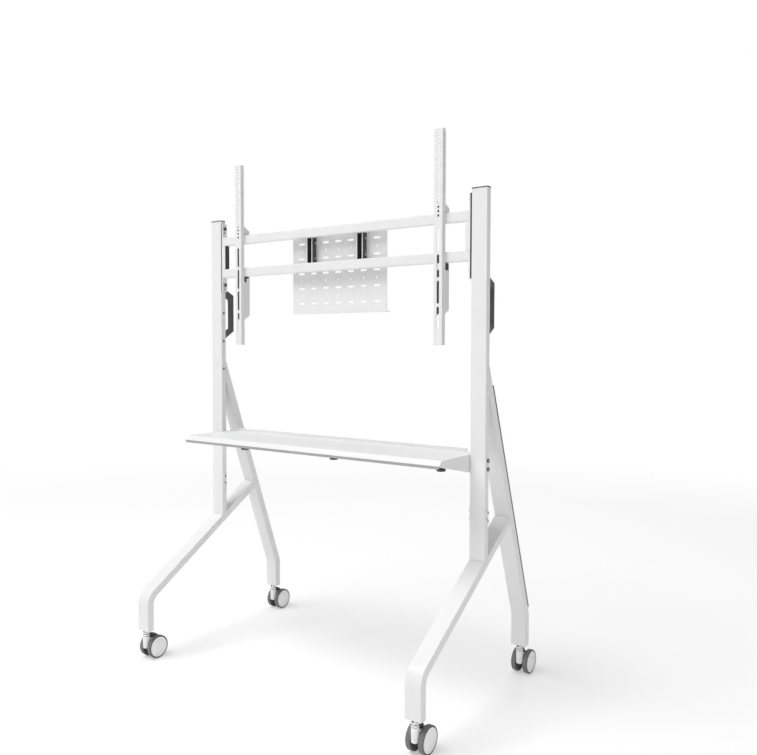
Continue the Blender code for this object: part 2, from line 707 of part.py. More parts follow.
def add_cable_cover():
    """A shallow open-backed channel that lies along the right rear leg."""
    up = Vector((0.0, -cos(REAR_LEG_ANGLE), sin(REAR_LEG_ANGLE)))
    out = Vector((0.0, sin(REAR_LEG_ANGLE), cos(REAR_LEG_ANGLE)))
    across = up.cross(out)
    half = COVER_WIDTH / 2
    inner = half - COVER_WALL
    base = GAP
    top = GAP + COVER_DEPTH
    section = [
        (-half, base),
        (-inner, base),
        (-inner, top - COVER_WALL),
        (inner, top - COVER_WALL),
        (inner, base),
        (half, base),
        (half, top - COVER_WALL),
        (half - COVER_WALL, top),
        (COVER_WALL - half, top),
        (-half, top - COVER_WALL),
    ]
    length = (COVER_HIGH_Z - COVER_LOW_Z) / sin(REAR_LEG_ANGLE)
    middle_z = (COVER_HIGH_Z + COVER_LOW_Z) / 2
    place = Matrix((across, out, up)).transposed().to_4x4()
    place.translation = (COLUMN_SPACING / 2, rear_leg_back_y(middle_z), middle_z)
    mesh = outline_mesh([section], length, TURN_XY)
    mesh.transform(place)
    close_up(mesh)
    add_piece("cable_cover", mesh, GREY_PLASTIC, smooth_below=radians(35))


def add_handle(side, sign):
    """A bridge handle: two feet on the column's back, slanted ends and a straight grip."""
    near = COLUMN_DEPTH + GAP
    far = near + HANDLE_REACH
    low = HANDLE_LOW_Z
    high = HANDLE_LOW_Z + HANDLE_LENGTH
    grip_y = far - HANDLE_GRIP
    inner_low = low + HANDLE_FOOT
    inner_high = high - HANDLE_FOOT
    fillet = HANDLE_FILLET
    high_fillet = arc((grip_y - fillet, inner_high - fillet), fillet, pi / 2, 0.0, 3)
    low_fillet = arc((grip_y - fillet, inner_low + fillet), fillet, 0.0, -pi / 2, 3)
    outline = (
        [(near, low), (far, low + HANDLE_LOW_SLANT), (far, high - HANDLE_HIGH_SLANT), (near, high)]
        + [(near, inner_high)]
        + high_fillet
        + low_fillet
        + [(near, inner_low)]
    )
    middle_x = sign * COLUMN_SPACING / 2
    mesh = outline_mesh([outline], HANDLE_WIDTH, TURN_YZ, (middle_x, 0, 0))
    handle = add_piece(f"{side}_handle", mesh, BLACK_PLASTIC, smooth_below=radians(35))
    round_edges(handle, HANDLE_EDGE, segments=1, above=radians(50))


def add_shelf():
    """One folded sheet: floor, sloping front with a lip, rear upstand and two side gussets."""
    half_width = COLUMN_INNER_X - GAP
    front = -SHELF_FRONT
    nose_y = front - SHELF_SLOPE_RUN
    nose_z = SHELF_Z - SHELF_SLOPE_DROP
    under = SHELF_Z - SHEET
    slope_shift = SHEET * tan(atan2(SHELF_SLOPE_DROP, SHELF_SLOPE_RUN) / 2)
    sheet = [
        (SHELF_REAR, SHELF_Z),
        (front, SHELF_Z),
        (nose_y, nose_z),
        (nose_y, nose_z - SHELF_LIP),
        (nose_y + SHEET, nose_z - SHELF_LIP),
        (nose_y + SHEET, nose_z - slope_shift),
        (front + slope_shift, under),
        (SHELF_REAR, under),
    ]
    mesh = outline_mesh([sheet], 2 * half_width, TURN_YZ)
    shelf = add_piece("shelf", mesh, WHITE_PAINT, smooth_below=radians(20))
    upstand_half = half_width - UPSTAND_INSET
    upstand = box_mesh(
        (-upstand_half, SHELF_REAR - SHEET, under + FUSE / 2),
        (upstand_half, SHELF_REAR, SHELF_Z + UPSTAND_HEIGHT),
    )
    weld_on(shelf, upstand, "upstand")
    lip_z = nose_z - SHELF_LIP
    gusset = [
        (nose_y + FUSE, lip_z + FUSE),
        (0.0, SHELF_Z - GUSSET_DROP),
        (GUSSET_REAR, SHELF_Z - GUSSET_DROP),
        (GUSSET_REAR, SHELF_Z - FUSE),
        (front + FUSE, SHELF_Z - FUSE),
        (nose_y + FUSE, nose_z - FUSE),
    ]
    for side, sign in SIDES:
        middle = sign * (half_width - SHEET / 2)
        weld_on(shelf, outline_mesh([gusset], SHEET, TURN_YZ, (middle, 0, 0)), f"{side}_gusset")
        ends = (middle, sign * (COLUMN_INNER_X + TUBE_WIDTH + GAP))
        for i, z in enumerate(SHELF_BOLT_Z):
            label = f"{side}_bolt_{i + 1}"
            weld_bolt(shelf, label, ends, SHELF_BOLT_Y, z, radius=SHELF_BOLT_HEAD_RADIUS)


def add_shelf_channel():
    """The folded channel under the shelf's floor, between the gussets."""
    top = SHELF_Z - SHEET - GAP
    low = SHELF_Z - CHANNEL_DROP
    section = [
        (0.0, top),
        (0.0, low),
        (CHANNEL_WIDTH, low),
        (CHANNEL_WIDTH, top),
        (CHANNEL_WIDTH - SHEET, top),
        (CHANNEL_WIDTH - SHEET, low + SHEET),
        (SHEET, low + SHEET),
        (SHEET, top),
    ]
    length = 2 * (COLUMN_INNER_X - 2 * GAP - SHEET)
    mesh = outline_mesh([section], length, TURN_YZ)
    add_piece("shelf_channel", mesh, WHITE_PAINT)


def add_buffers():
    """Three round rubber buffers under the channel."""
    top = SHELF_Z - CHANNEL_DROP - GAP
    edge = BUFFER_THICKNESS / 4
    low = -BUFFER_NECK - BUFFER_THICKNESS
    profile = [
        (0.0, 0.0),
        (BUFFER_NECK_RADIUS, 0.0),
        (BUFFER_NECK_RADIUS, -BUFFER_NECK),
        (BUFFER_RADIUS - edge, -BUFFER_NECK),
        (BUFFER_RADIUS, -BUFFER_NECK - edge),
        (BUFFER_RADIUS, low + edge),
        (BUFFER_RADIUS - edge, low),
        (0.0, low),
    ]
    for place, sign in (("left", -1), ("middle", 0), ("right", 1)):
        turned_piece(
            f"shelf_buffer_{place}",
            profile,
            BUFFER_RUBBER,
            (sign * BUFFER_SPACING, CHANNEL_WIDTH / 2, top),
            TURN_XY,
        )


def add_rail(name, low):
    loops = tube_loops(
        RAIL_DEPTH, RAIL_HEIGHT, TUBE_WALL, TUBE_CORNER, (RAIL_DEPTH / 2, low + RAIL_HEIGHT / 2)
    )
    mesh = outline_mesh(loops, 2 * RAIL_END_X, TURN_YZ)
    add_piece(name, mesh, WHITE_PAINT, smooth_below=radians(35))


def add_end_bracket(side, sign):
    """The plate at the rails' ends, with a narrow front flange, two bolts and two lock screws."""
    low = LOWER_BOLT_Z - BRACKET_BELOW_BOLT
    high = UPPER_BOLT_Z + BRACKET_ABOVE_BOLT
    thick = (BRACKET_INNER_X, BRACKET_OUTER_X)
    xs = sorted(sign * x for x in thick)
    plate = box_mesh((xs[0], 0.0, low), (xs[1], RAIL_DEPTH, high))
    bracket = add_piece(f"{side}_end_bracket", plate, WHITE_PAINT)
    flange_xs = sorted(sign * x for x in (BRACKET_INNER_X - BRACKET_FLANGE, BRACKET_INNER_X + FUSE))
    flange = box_mesh(
        (flange_xs[0], 0.0, LOWER_RAIL_Z + RAIL_HEIGHT + GAP),
        (flange_xs[1], SHEET, UPPER_RAIL_Z - GAP),
    )
    weld_on(bracket, flange, "flange")
    ends = (sign * (COLUMN_INNER_X + FRAME_BOLT_LENGTH), sign * (BRACKET_INNER_X + FUSE))
    for i, z in enumerate((LOWER_BOLT_Z, UPPER_BOLT_Z)):
        weld_bolt(bracket, f"bolt_{i + 1}", ends, COLUMN_MIDDLE_Y, z, head=BOLT_HEAD + FUSE)
        screw_y = COLUMN_MIDDLE_Y - LOCK_SCREW_FORWARD
        screw_z = z - LOCK_SCREW_DROP
        start = (sign * (BRACKET_INNER_X + FUSE), screw_y, screw_z)
        end = (sign * (BRACKET_INNER_X - BOLT_HEAD / 2), screw_y, screw_z)
        screw = rod_mesh(LOCK_SCREW_RADIUS, start, end, steps=BOLT_STEPS)
        weld_on(bracket, screw, f"lock_screw_{i + 1}")


def add_spacer(side, sign):
    """The dark spacer between bracket and column, with a hole for each frame bolt."""
    low = LOWER_BOLT_Z - BRACKET_BELOW_BOLT
    high = UPPER_BOLT_Z + BRACKET_ABOVE_BOLT
    hole = BOLT_RADIUS + BOLT_CLEARANCE
    outline = [(0.0, low), (COLUMN_DEPTH, low), (COLUMN_DEPTH, high), (0.0, high)]
    holes = [circle(hole, (COLUMN_MIDDLE_Y, z), HOLE_STEPS) for z in (LOWER_BOLT_Z, UPPER_BOLT_Z)]
    middle = sign * (COLUMN_INNER_X - GAP - SPACER_THICKNESS / 2)
    mesh = outline_mesh([outline] + holes, SPACER_THICKNESS, TURN_YZ, (middle, 0, 0))
    add_piece(f"{side}_spacer", mesh, BLACK_PLASTIC)


def add_end_insert(side, sign):
    """The black block behind the bracket's flange, between the rails' ends."""
    xs = sorted(sign * x for x in (BRACKET_INNER_X - BRACKET_FLANGE, BRACKET_INNER_X - GAP))
    mesh = box_mesh(
        (xs[0], SHEET + GAP, LOWER_RAIL_Z + RAIL_HEIGHT + GAP),
        (xs[1], RAIL_DEPTH, UPPER_RAIL_Z - GAP),
    )
    add_piece(f"{side}_end_insert", mesh, BLACK_PLASTIC)


def arm_pattern(middle_x):
    """The arm's face: a row of holes, four slots and three more holes, from the top down."""
    loops = []
    z = ARM_LOW_Z + ARM_LENGTH - ARM_END
    for i in range(ARM_TOP_HOLES):
        loops.append(circle(ARM_HOLE_RADIUS, (middle_x, z - i * ARM_HOLE_PITCH), HOLE_STEPS))
    z -= (ARM_TOP_HOLES - 1) * ARM_HOLE_PITCH + ARM_SLOT_START
    for i in range(ARM_SLOTS):
        middle = (middle_x, z - i * ARM_SLOT_PITCH)
        loops.append(slot(ARM_SLOT_LENGTH, ARM_SLOT_WIDTH, middle, upright=True))
    for i in range(ARM_BOTTOM_HOLES):
        z = ARM_LOW_Z + ARM_END + i * ARM_HOLE_PITCH
        loops.append(circle(ARM_HOLE_RADIUS, (middle_x, z), HOLE_STEPS))
    return loops


def add_screen_arm(side, sign):
    """A folded profile with outward lips, held just off the rails' faces."""
    middle_x = sign * ARM_X
    half = ARM_WIDTH / 2
    back = -ARM_STAND_OFF
    front = ARM_FRONT_Y
    section = [
        (half, front),
        (half, back - SHEET),
        (half + ARM_LIP, back - SHEET),
        (half + ARM_LIP, back),
        (half - SHEET, back),
        (half - SHEET, front + SHEET),
    ]
    mirrored = [(-x, y) for x, y in reversed(section)]
    loop = [(middle_x + x, y) for x, y in section + mirrored]
    middle_z = ARM_LOW_Z + ARM_LENGTH / 2
    mesh = outline_mesh([loop], ARM_LENGTH, TURN_XY, (0, 0, middle_z))
    arm = add_piece(f"{side}_screen_arm", mesh, WHITE_PAINT, origin=(middle_x, 0.0, middle_z))
    depth = 2 * SHEET
    cutter = outline_mesh(arm_pattern(middle_x), depth, TURN_XZ, (0, front + SHEET / 2, 0))
    cut(arm, cutter, "holes_and_slots")


def cheek_pair(piece, outline, middle_x, width, label):
    """Two side plates of one outline, a width apart over their outer faces."""
    for name, sign in SIDES:
        middle = middle_x + sign * (width / 2 - CHEEK / 2)
        weld_on(piece, outline_mesh([outline], CHEEK, TURN_YZ, (middle, 0, 0)), f"{name}_{label}")


def add_arm_hook(side, sign):
    """The hook inside the arm that goes over the upper rail and down behind it."""
    middle_x = sign * ARM_X
    front = ARM_INSIDE_Y
    over = UPPER_RAIL_Z + RAIL_HEIGHT + GAP
    top = over + HOOK_RISE
    back_top = over + HOOK_BACK_RISE
    behind = RAIL_DEPTH + GAP
    nose_low = over - HOOK_NOSE
    cheek = [
        (behind, nose_low),
        (HOOK_BACK_Y, nose_low),
        (HOOK_BACK_Y, back_top),
        (0.0, top),
        (front, top),
        (front, UPPER_RAIL_Z),
        (-2 * GAP, UPPER_RAIL_Z),
        (-2 * GAP, over),
        (behind, over),
    ]
    half = HOOK_WIDTH / 2
    web = box_mesh(
        (middle_x - half + FUSE, HOOK_BACK_Y - CHEEK, nose_low + FUSE),
        (middle_x + half - FUSE, HOOK_BACK_Y - FUSE, back_top - FUSE),
    )
    hook = add_piece(f"{side}_arm_hook", web, WHITE_PAINT, origin=(middle_x, 0.0, over))
    cheek_pair(hook, cheek, middle_x, HOOK_WIDTH, "cheek")


def add_latch_housing(side, sign):
    """The box under the lower rail that holds the catch: two cheeks, a back and a bottom."""
    middle_x = sign * ARM_X
    front = ARM_INSIDE_Y
    top = LOWER_RAIL_Z - GAP
    low = top - HOUSING_DROP
    slope_top = low + HOUSING_SLOPE_RISE
    cheek = [
        (front, low),
        (HOOK_BACK_Y - HOUSING_SLOPE_RUN, low),
        (HOOK_BACK_Y, slope_top),
        (HOOK_BACK_Y, top),
        (front, top),
    ]
    half = HOOK_WIDTH / 2
    back = box_mesh(
        (middle_x - half + FUSE, HOOK_BACK_Y - CHEEK, slope_top),
        (middle_x + half - FUSE, HOOK_BACK_Y - FUSE, slope_top + HOUSING_BACK_HEIGHT),
    )
    origin = (middle_x, 0.0, top)
    housing = add_piece(f"{side}_latch_housing", back, WHITE_PAINT, origin=origin)
    cheek_pair(housing, cheek, middle_x, HOOK_WIDTH, "cheek")
    bottom = box_mesh(
        (middle_x - half + FUSE, front + FUSE, low + FUSE),
        (middle_x + half - FUSE, HOOK_BACK_Y - HOUSING_SLOPE_RUN, low + CHEEK),
    )
    weld_on(housing, bottom, "bottom")
    pivot_z = LOWER_RAIL_Z - CATCH_PIVOT_DROP
    across = HOOK_WIDTH
    ends = ((middle_x - across, CATCH_PIVOT_Y, pivot_z), (middle_x + across, CATCH_PIVOT_Y, pivot_z))
    cut(housing, rod_mesh(CATCH_PIVOT_RADIUS + GAP, *ends), "pivot_hole")


def add_latch_catch(side, sign):
    """The sprung catch: a nose behind the lower rail and two release tabs on its pivot."""
    middle_x = sign * ARM_X
    pivot = (middle_x, CATCH_PIVOT_Y, LOWER_RAIL_Z - CATCH_PIVOT_DROP)
    top = LOWER_RAIL_Z - 2 * GAP
    nose = RAIL_DEPTH + GAP
    nose_back = nose + CATCH_THICKNESS
    tip = LOWER_RAIL_Z + CATCH_RISE
    body_low = top - CATCH_THICKNESS
    outline = [
        (CATCH_PIVOT_Y, body_low),
        (nose_back, body_low),
        (nose_back, tip - CATCH_THICKNESS / 2),
        (nose, tip),
        (nose, top),
        (CATCH_PIVOT_Y, top),
    ]
    mesh = outline_mesh([outline], CATCH_WIDTH, TURN_YZ, (middle_x, 0, 0))
    catch = add_piece(f"{side}_latch_catch", mesh, BLACK_PLASTIC, origin=pivot)
    low = LOWER_RAIL_Z - TAB_DROP
    back = CATCH_PIVOT_Y + TAB_BACK
    front_edge = [
        (CATCH_PIVOT_Y, top),
        (CATCH_PIVOT_Y, low + TAB_CORNER),
        (CATCH_PIVOT_Y + TAB_CORNER, low),
    ]
    outer_tab = front_edge + [(back, low), (back, top)]
    leg = CATCH_PIVOT_Y + TAB_LEG
    inner_tab = front_edge + [(leg, low), (leg, top - TAB_BAR), (back, top - TAB_BAR), (back, top)]
    tab_x = HOOK_WIDTH / 2 + GAP + TAB_THICKNESS / 2
    for label, way, tab in (("outer", sign, outer_tab), ("inner", -sign, inner_tab)):
        middle = (middle_x + way * tab_x, 0, 0)
        weld_on(catch, outline_mesh([tab], TAB_THICKNESS, TURN_YZ, middle), f"{label}_tab")
    half = tab_x + TAB_THICKNESS / 2 - FUSE
    ends = ((middle_x - half, pivot[1], pivot[2]), (middle_x + half, pivot[1], pivot[2]))
    weld_on(catch, rod_mesh(CATCH_PIVOT_RADIUS, *ends), "pivot")


def add_hanger(side, sign):
    """A dark channel, open to the front, gripped between the rails and behind them."""
    middle_x = sign * HANGER_X
    lower_top = LOWER_RAIL_Z + RAIL_HEIGHT + GAP
    upper_low = UPPER_RAIL_Z - GAP
    behind = RAIL_DEPTH + GAP
    back = PLATE_Y - GAP
    cheek = [
        (HANGER_FRONT_Y, lower_top),
        (behind, lower_top),
        (behind, lower_top - HANGER_OVERLAP),
        (back, lower_top - HANGER_OVERLAP),
        (back, upper_low + HANGER_OVERLAP),
        (behind, upper_low + HANGER_OVERLAP),
        (behind, upper_low),
        (HANGER_FRONT_Y, upper_low),
    ]
    half = HANGER_WIDTH / 2
    web = box_mesh(
        (middle_x - half + FUSE, back - SHEET, lower_top - HANGER_OVERLAP + FUSE),
        (middle_x + half - FUSE, back, upper_low + HANGER_OVERLAP - FUSE),
    )
    hanger = add_piece(f"{side}_hanger_bracket", web, DARK_PAINT)
    for name, way in SIDES:
        middle = middle_x + way * (half - SHEET / 2)
        weld_on(hanger, outline_mesh([cheek], SHEET, TURN_YZ, (middle, 0, 0)), f"{name}_cheek")


def add_device_plate():
    """The perforated plate on the hangers, with its lower edge folded back."""
    low = LOWER_RAIL_Z - PLATE_LOW_DROP
    high = UPPER_RAIL_Z + PLATE_ABOVE_RAIL_BOTTOM
    profile = [
        (PLATE_Y, high),
        (PLATE_Y, low),
        (PLATE_Y + PLATE_FLANGE, low),
        (PLATE_Y + PLATE_FLANGE, low + SHEET),
        (PLATE_Y + SHEET, low + SHEET),
        (PLATE_Y + SHEET, high),
    ]
    plate = add_piece("device_plate", outline_mesh([profile], PLATE_WIDTH, TURN_YZ), WHITE_PAINT)
    loops = []
    for row in range(SLOT_ROWS):
        z = low + SLOT_LOWEST + row * SLOT_PITCH_Z
        for column in range(SLOT_COLUMNS):
            x = (column - (SLOT_COLUMNS - 1) / 2) * SLOT_PITCH_X
            loops.append(slot(SLOT_LENGTH, SLOT_HEIGHT, (x, z), upright=False, steps=2))
            if row < SLOT_ROWS - 1:
                middle = (x, z + SLOT_PITCH_Z / 2)
                loops.append(slot(EYELET_HEIGHT, EYELET_WIDTH, middle, upright=True, steps=2))
    cutter = outline_mesh(loops, 2 * SHEET, TURN_XZ, (0, PLATE_Y + SHEET / 2, 0))
    cut(plate, cutter, "slots")


def add_caster(corner, stem_x, stem_y, foot_depth):
    """One twin-wheel caster, trailing to the rear under its foot."""
    axle = (stem_x, stem_y + CASTER_TRAIL, WHEEL_RADIUS)
    add_caster_mount(corner, stem_x, stem_y, foot_depth)
    add_caster_hood(corner, stem_x, stem_y, axle)
    add_axle(corner, axle)
    for side, sign in SIDES:
        add_wheel(f"{corner}_{side}_wheel", axle, sign)
    add_pedal(corner, stem_x, stem_y)


def add_caster_mount(corner, stem_x, stem_y, foot_depth):
    """The plate in the tube's end, with the collar below it and the stem the hood turns on."""
    inside = 2 * (TUBE_WALL + GAP)
    plate = rounded_rectangle(
        TUBE_WIDTH - inside, foot_depth - inside, TUBE_WALL / 2, (stem_x, stem_y), 1
    )
    plate_z = FOOT_Z + FOOT_PLATE / 2
    mesh = outline_mesh([plate], FOOT_PLATE, TURN_XY, (0, 0, plate_z))
    mount = add_piece(f"{corner}_caster_mount", mesh, ZINC_STEEL, origin=(stem_x, stem_y, FOOT_Z))
    profile = [
        (0.0, plate_z),
        (STEM_RADIUS, plate_z),
        (STEM_RADIUS, FOOT_Z - GAP),
        (COLLAR_RADIUS, FOOT_Z - GAP),
        (COLLAR_RADIUS, FOOT_Z - COLLAR_HEIGHT),
        (STEM_RADIUS, FOOT_Z - COLLAR_HEIGHT),
        (STEM_RADIUS, STEM_LOW_Z),
        (0.0, STEM_LOW_Z),
    ]
    stem = turned_mesh(profile, (stem_x, stem_y, 0.0), (stem_x, stem_y, 1.0), ROUND_STEPS)
    weld_on(mount, stem, "collar_and_stem")


def add_caster_hood(corner, stem_x, stem_y, axle):
    """The swivel body between the wheels: a tube on the stem, a block behind it and a round web."""
    low = WHEEL_RADIUS - HOOD_LOW
    dip = asin(HOOD_LOW / HOOD_RADIUS)
    web = arc((axle[1], axle[2]), HOOD_RADIUS, -dip, pi + dip, 16)
    half = WHEEL_SPREAD - RUNNING_GAP
    mesh = outline_mesh([web], 2 * half, TURN_YZ, (stem_x, 0, 0))
    origin = (stem_x, stem_y, low)
    name = f"{corner}_caster_hood"
    hood = add_piece(name, mesh, WHITE_PLASTIC, origin=origin, smooth_below=radians(35))
    hood_top = FOOT_Z - COLLAR_HEIGHT - GAP
    ends = ((stem_x, stem_y, HOOD_TUBE_LOW_Z), (stem_x, stem_y, hood_top))
    weld_on(hood, rod_mesh(HOOD_TUBE_RADIUS, *ends, steps=WHEEL_STEPS), "tube")
    pivot_y, pivot_z = pedal_pivot(stem_y)
    near = stem_y + STEM_RADIUS
    back = pivot_y + PEDAL_EAR_BEHIND
    high = pivot_z + PEDAL_EAR_ABOVE
    ear = [(near, axle[2]), (back, axle[2]), (back, high), (near, high)]
    ear_x = PEDAL_WIDTH / 2 + GAP + PEDAL_EAR / 2
    for side, sign in SIDES:
        middle = (stem_x + sign * ear_x, 0, 0)
        weld_on(hood, outline_mesh([ear], PEDAL_EAR, TURN_YZ, middle), f"{side}_ear")
    block = box_mesh(
        (stem_x - ear_x, near + FUSE, axle[2] + FUSE),
        (stem_x + ear_x, back - FUSE, pivot_z - HOOD_BLOCK_BELOW),
    )
    weld_on(hood, block, "block")
    bore_ends = ((stem_x, stem_y, STEM_LOW_Z - GAP), (stem_x, stem_y, FOOT_Z))
    cut(hood, rod_mesh(STEM_RADIUS + RUNNING_GAP / 2, *bore_ends), "stem_bore")
    reach = WHEEL_SPREAD + CUT_PAST
    pin_ends = ((stem_x - reach, pivot_y, pivot_z), (stem_x + reach, pivot_y, pivot_z))
    cut(hood, rod_mesh(PEDAL_PIN_RADIUS + GAP, *pin_ends, steps=HOLE_STEPS), "pedal_pin_hole")
    axle_ends = ((stem_x - reach, axle[1], axle[2]), (stem_x + reach, axle[1], axle[2]))
    cut(hood, rod_mesh(AXLE_RADIUS + RUNNING_GAP / 2, *axle_ends), "axle_bore")


def add_axle(corner, axle):
    half = WHEEL_SPREAD + WHEEL_WIDTH - TYRE_SHOULDER - 2 * RUNNING_GAP
    ends = ((axle[0] - half, axle[1], axle[2]), (axle[0] + half, axle[1], axle[2]))
    mesh = rod_mesh(AXLE_RADIUS, *ends)
    add_piece(f"{corner}_caster_axle", mesh, ZINC_STEEL, origin=axle, smooth_below=radians(35))


def add_wheel(name, axle, sign):
    """A wheel with a tyre shoulder, a shallow recess for its hub disc and a blind bore."""
    shoulder = TYRE_SHOULDER
    face = WHEEL_WIDTH
    bore = AXLE_RADIUS + RUNNING_GAP / 2
    bore_end = face - shoulder - RUNNING_GAP
    profile = [
        (0.0, face - HUB_RECESS),
        (HUB_RADIUS, face - HUB_RECESS),
        (HUB_RADIUS, face),
        (WHEEL_RADIUS - shoulder, face),
        (WHEEL_RADIUS, face - shoulder),
        (WHEEL_RADIUS, shoulder),
        (WHEEL_RADIUS - shoulder, 0.0),
        (bore, 0.0),
        (bore, bore_end),
        (0.0, bore_end),
    ]
    turn = Matrix.Rotation(sign * pi / 2, 4, "Y")
    origin = (axle[0] + sign * WHEEL_SPREAD, axle[1], axle[2])
    turned_piece(name, profile, TYRE_RUBBER, origin, turn, steps=WHEEL_STEPS)


def pedal_pivot(stem_y):
    return stem_y + PEDAL_PIVOT_BACK, WHEEL_RADIUS + HOOD_RADIUS + PEDAL_LIFT


def pedal_outline(pivot_y, pivot_z):
    """The pedal's side outline: a short front end, a bend and a long slope down to the tip."""
    pivot = Vector((pivot_y, pivot_z))
    front = pivot + Vector((-PEDAL_FORE, PEDAL_FORE_RISE))
    bend = pivot + Vector((PEDAL_BEND, PEDAL_BEND_RISE))
    tip = pivot + Vector((PEDAL_LENGTH, -PEDAL_DROP))
    fore_way = (bend - front).normalized()
    rear_way = (tip - bend).normalized()
    fore_down = Vector((fore_way.y, -fore_way.x))
    rear_down = Vector((rear_way.y, -rear_way.x))
    half = PEDAL_THICKNESS / 2
    mitre = (fore_down + rear_down) * PEDAL_THICKNESS / (1 + fore_down.dot(rear_down))
    points = [
        front,
        bend,
        tip - rear_way * half,
        tip + rear_down * half,
        tip - rear_way * half + rear_down * PEDAL_THICKNESS,
        bend + mitre,
        front - Vector((0.0, PEDAL_THICKNESS / fore_way.x)),
    ]
    return [tuple(point) for point in points]


def add_pedal(corner, stem_x, stem_y):
    """The brake pedal: a long lever between the wheels, on a pin in the hood's two ears."""
    pivot_y, pivot_z = pedal_pivot(stem_y)
    outline = pedal_outline(pivot_y, pivot_z)
    mesh = outline_mesh([outline], PEDAL_WIDTH, TURN_YZ, (stem_x, 0, 0))
    origin = (stem_x, pivot_y, pivot_z)
    pedal = add_piece(f"{corner}_brake_pedal", mesh, BLACK_PLASTIC, origin=origin)
    half = PEDAL_WIDTH / 2
    pin = WHEEL_SPREAD - RUNNING_GAP
    profile = [
        (0.0, -pin),
        (PEDAL_PIN_RADIUS, -pin),
        (PEDAL_PIN_RADIUS, -half),
        (PEDAL_KNUCKLE_RADIUS, -half),
        (PEDAL_KNUCKLE_RADIUS, half),
        (PEDAL_PIN_RADIUS, half),
        (PEDAL_PIN_RADIUS, pin),
        (0.0, pin),
    ]
    toward = (stem_x + 1.0, pivot_y, pivot_z)
    weld_on(pedal, turned_mesh(profile, origin, toward, HOLE_STEPS), "knuckle_and_pin")


SIDES = (("left", -1), ("right", 1))

clear_scene()
parts = new_collection("tv_cart")
cutters = new_collection("tv_cart_cutters")
cart = bpy.data.objects.new("cart", None)
parts.objects.link(cart)
cart.location = (0.0, COLUMN_FRONT_Y, 0.0)

for side_name, side_sign in SIDES:
    add_column(side_name, side_sign)
    add_column_cap(side_name, side_sign)
    add_front_leg(side_name, side_sign)
    add_rear_leg(side_name, side_sign)
    add_handle(side_name, side_sign)
    add_end_bracket(side_name, side_sign)
    add_spacer(side_name, side_sign)
    add_end_insert(side_name, side_sign)
    add_screen_arm(side_name, side_sign)
    add_arm_hook(side_name, side_sign)
    add_latch_housing(side_name, side_sign)
    add_latch_catch(side_name, side_sign)
    add_hanger(side_name, side_sign)
    foot_x = side_sign * COLUMN_SPACING / 2
    add_caster(f"front_{side_name}", foot_x, FRONT_STEM_Y, FRONT_LEG_DEPTH)
    add_caster(f"rear_{side_name}", foot_x, REAR_STEM_Y, REAR_LEG_DEPTH)

add_cable_cover()
add_rail("lower_rail", LOWER_RAIL_Z)
add_rail("upper_rail", UPPER_RAIL_Z)
add_device_plate()
add_shelf()
add_shelf_channel()
add_buffers()
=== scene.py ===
"""The looks of the TV cart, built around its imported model.

Metres, +Z up, the screen side faces -Y. Every added piece rides on one of the model's bodies.
"""

from math import cos, pi, radians, sin

import bmesh
import bpy
from mathutils import Matrix, Vector


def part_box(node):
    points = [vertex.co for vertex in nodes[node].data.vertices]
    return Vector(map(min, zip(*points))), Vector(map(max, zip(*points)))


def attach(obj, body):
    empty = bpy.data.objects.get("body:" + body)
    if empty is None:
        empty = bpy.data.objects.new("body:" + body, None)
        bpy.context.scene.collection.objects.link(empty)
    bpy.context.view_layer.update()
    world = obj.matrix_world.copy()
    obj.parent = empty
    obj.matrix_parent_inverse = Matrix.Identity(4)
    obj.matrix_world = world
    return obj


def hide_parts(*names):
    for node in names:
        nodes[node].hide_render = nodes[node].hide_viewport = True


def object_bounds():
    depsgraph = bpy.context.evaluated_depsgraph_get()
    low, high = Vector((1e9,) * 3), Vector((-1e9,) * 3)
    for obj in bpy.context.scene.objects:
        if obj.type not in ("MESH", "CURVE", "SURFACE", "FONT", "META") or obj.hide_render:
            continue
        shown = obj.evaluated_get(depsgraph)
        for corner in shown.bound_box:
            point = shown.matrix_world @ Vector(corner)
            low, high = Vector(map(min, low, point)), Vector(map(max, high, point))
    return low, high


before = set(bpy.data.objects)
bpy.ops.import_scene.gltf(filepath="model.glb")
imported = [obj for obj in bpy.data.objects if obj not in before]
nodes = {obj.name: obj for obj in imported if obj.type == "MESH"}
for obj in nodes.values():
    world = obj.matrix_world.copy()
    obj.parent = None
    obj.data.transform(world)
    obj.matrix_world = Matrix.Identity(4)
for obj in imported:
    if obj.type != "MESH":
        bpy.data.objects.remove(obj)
cad_low, cad_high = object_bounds()
scene = bpy.context.scene

SIDES = (("left", -1), ("right", 1))
CORNERS = ("front_left", "front_right", "rear_left", "rear_right")
MM = 0.001
UP = (0, 0, 1)
SHARP = radians(35)  # edges of a larger angle are sharp
LATHE_STEPS = 64

# Camera, worked out from the photograph's straight edges
CAMERA_PLACE = (1.5816, -1.97095, 1.0458)
CAMERA_TILT = radians(87.56)
CAMERA_TURN = radians(35.47)
CAMERA_ROLL = radians(0.12)
CAMERA_LENS = 37.09
SENSOR_WIDTH = 36.0
CAMERA_SHIFT = 0.0016
CAMERA_CLIP = (0.05, 200.0)

# Stage. The floor turns from its own shade at FLOOR_NEAR to plain white at FLOOR_FAR.
FLOOR_RADIUS = 40.0
FLOOR_STEPS = 96
FLOOR_DROP = 0.0002  # below the wheels, so that the floor meets no face of theirs
FLOOR_NEAR = 1.6
FLOOR_FAR = 5.0
FLOOR_PLAIN = 0.4  # the least share of plain white, which keeps the shadow light
FLOOR_COLOUR = (0.96, 0.96, 0.96, 1.0)
PLAIN_WHITE = (1.0, 1.0, 1.0, 1.0)
WORLD_STRENGTH = 0.465
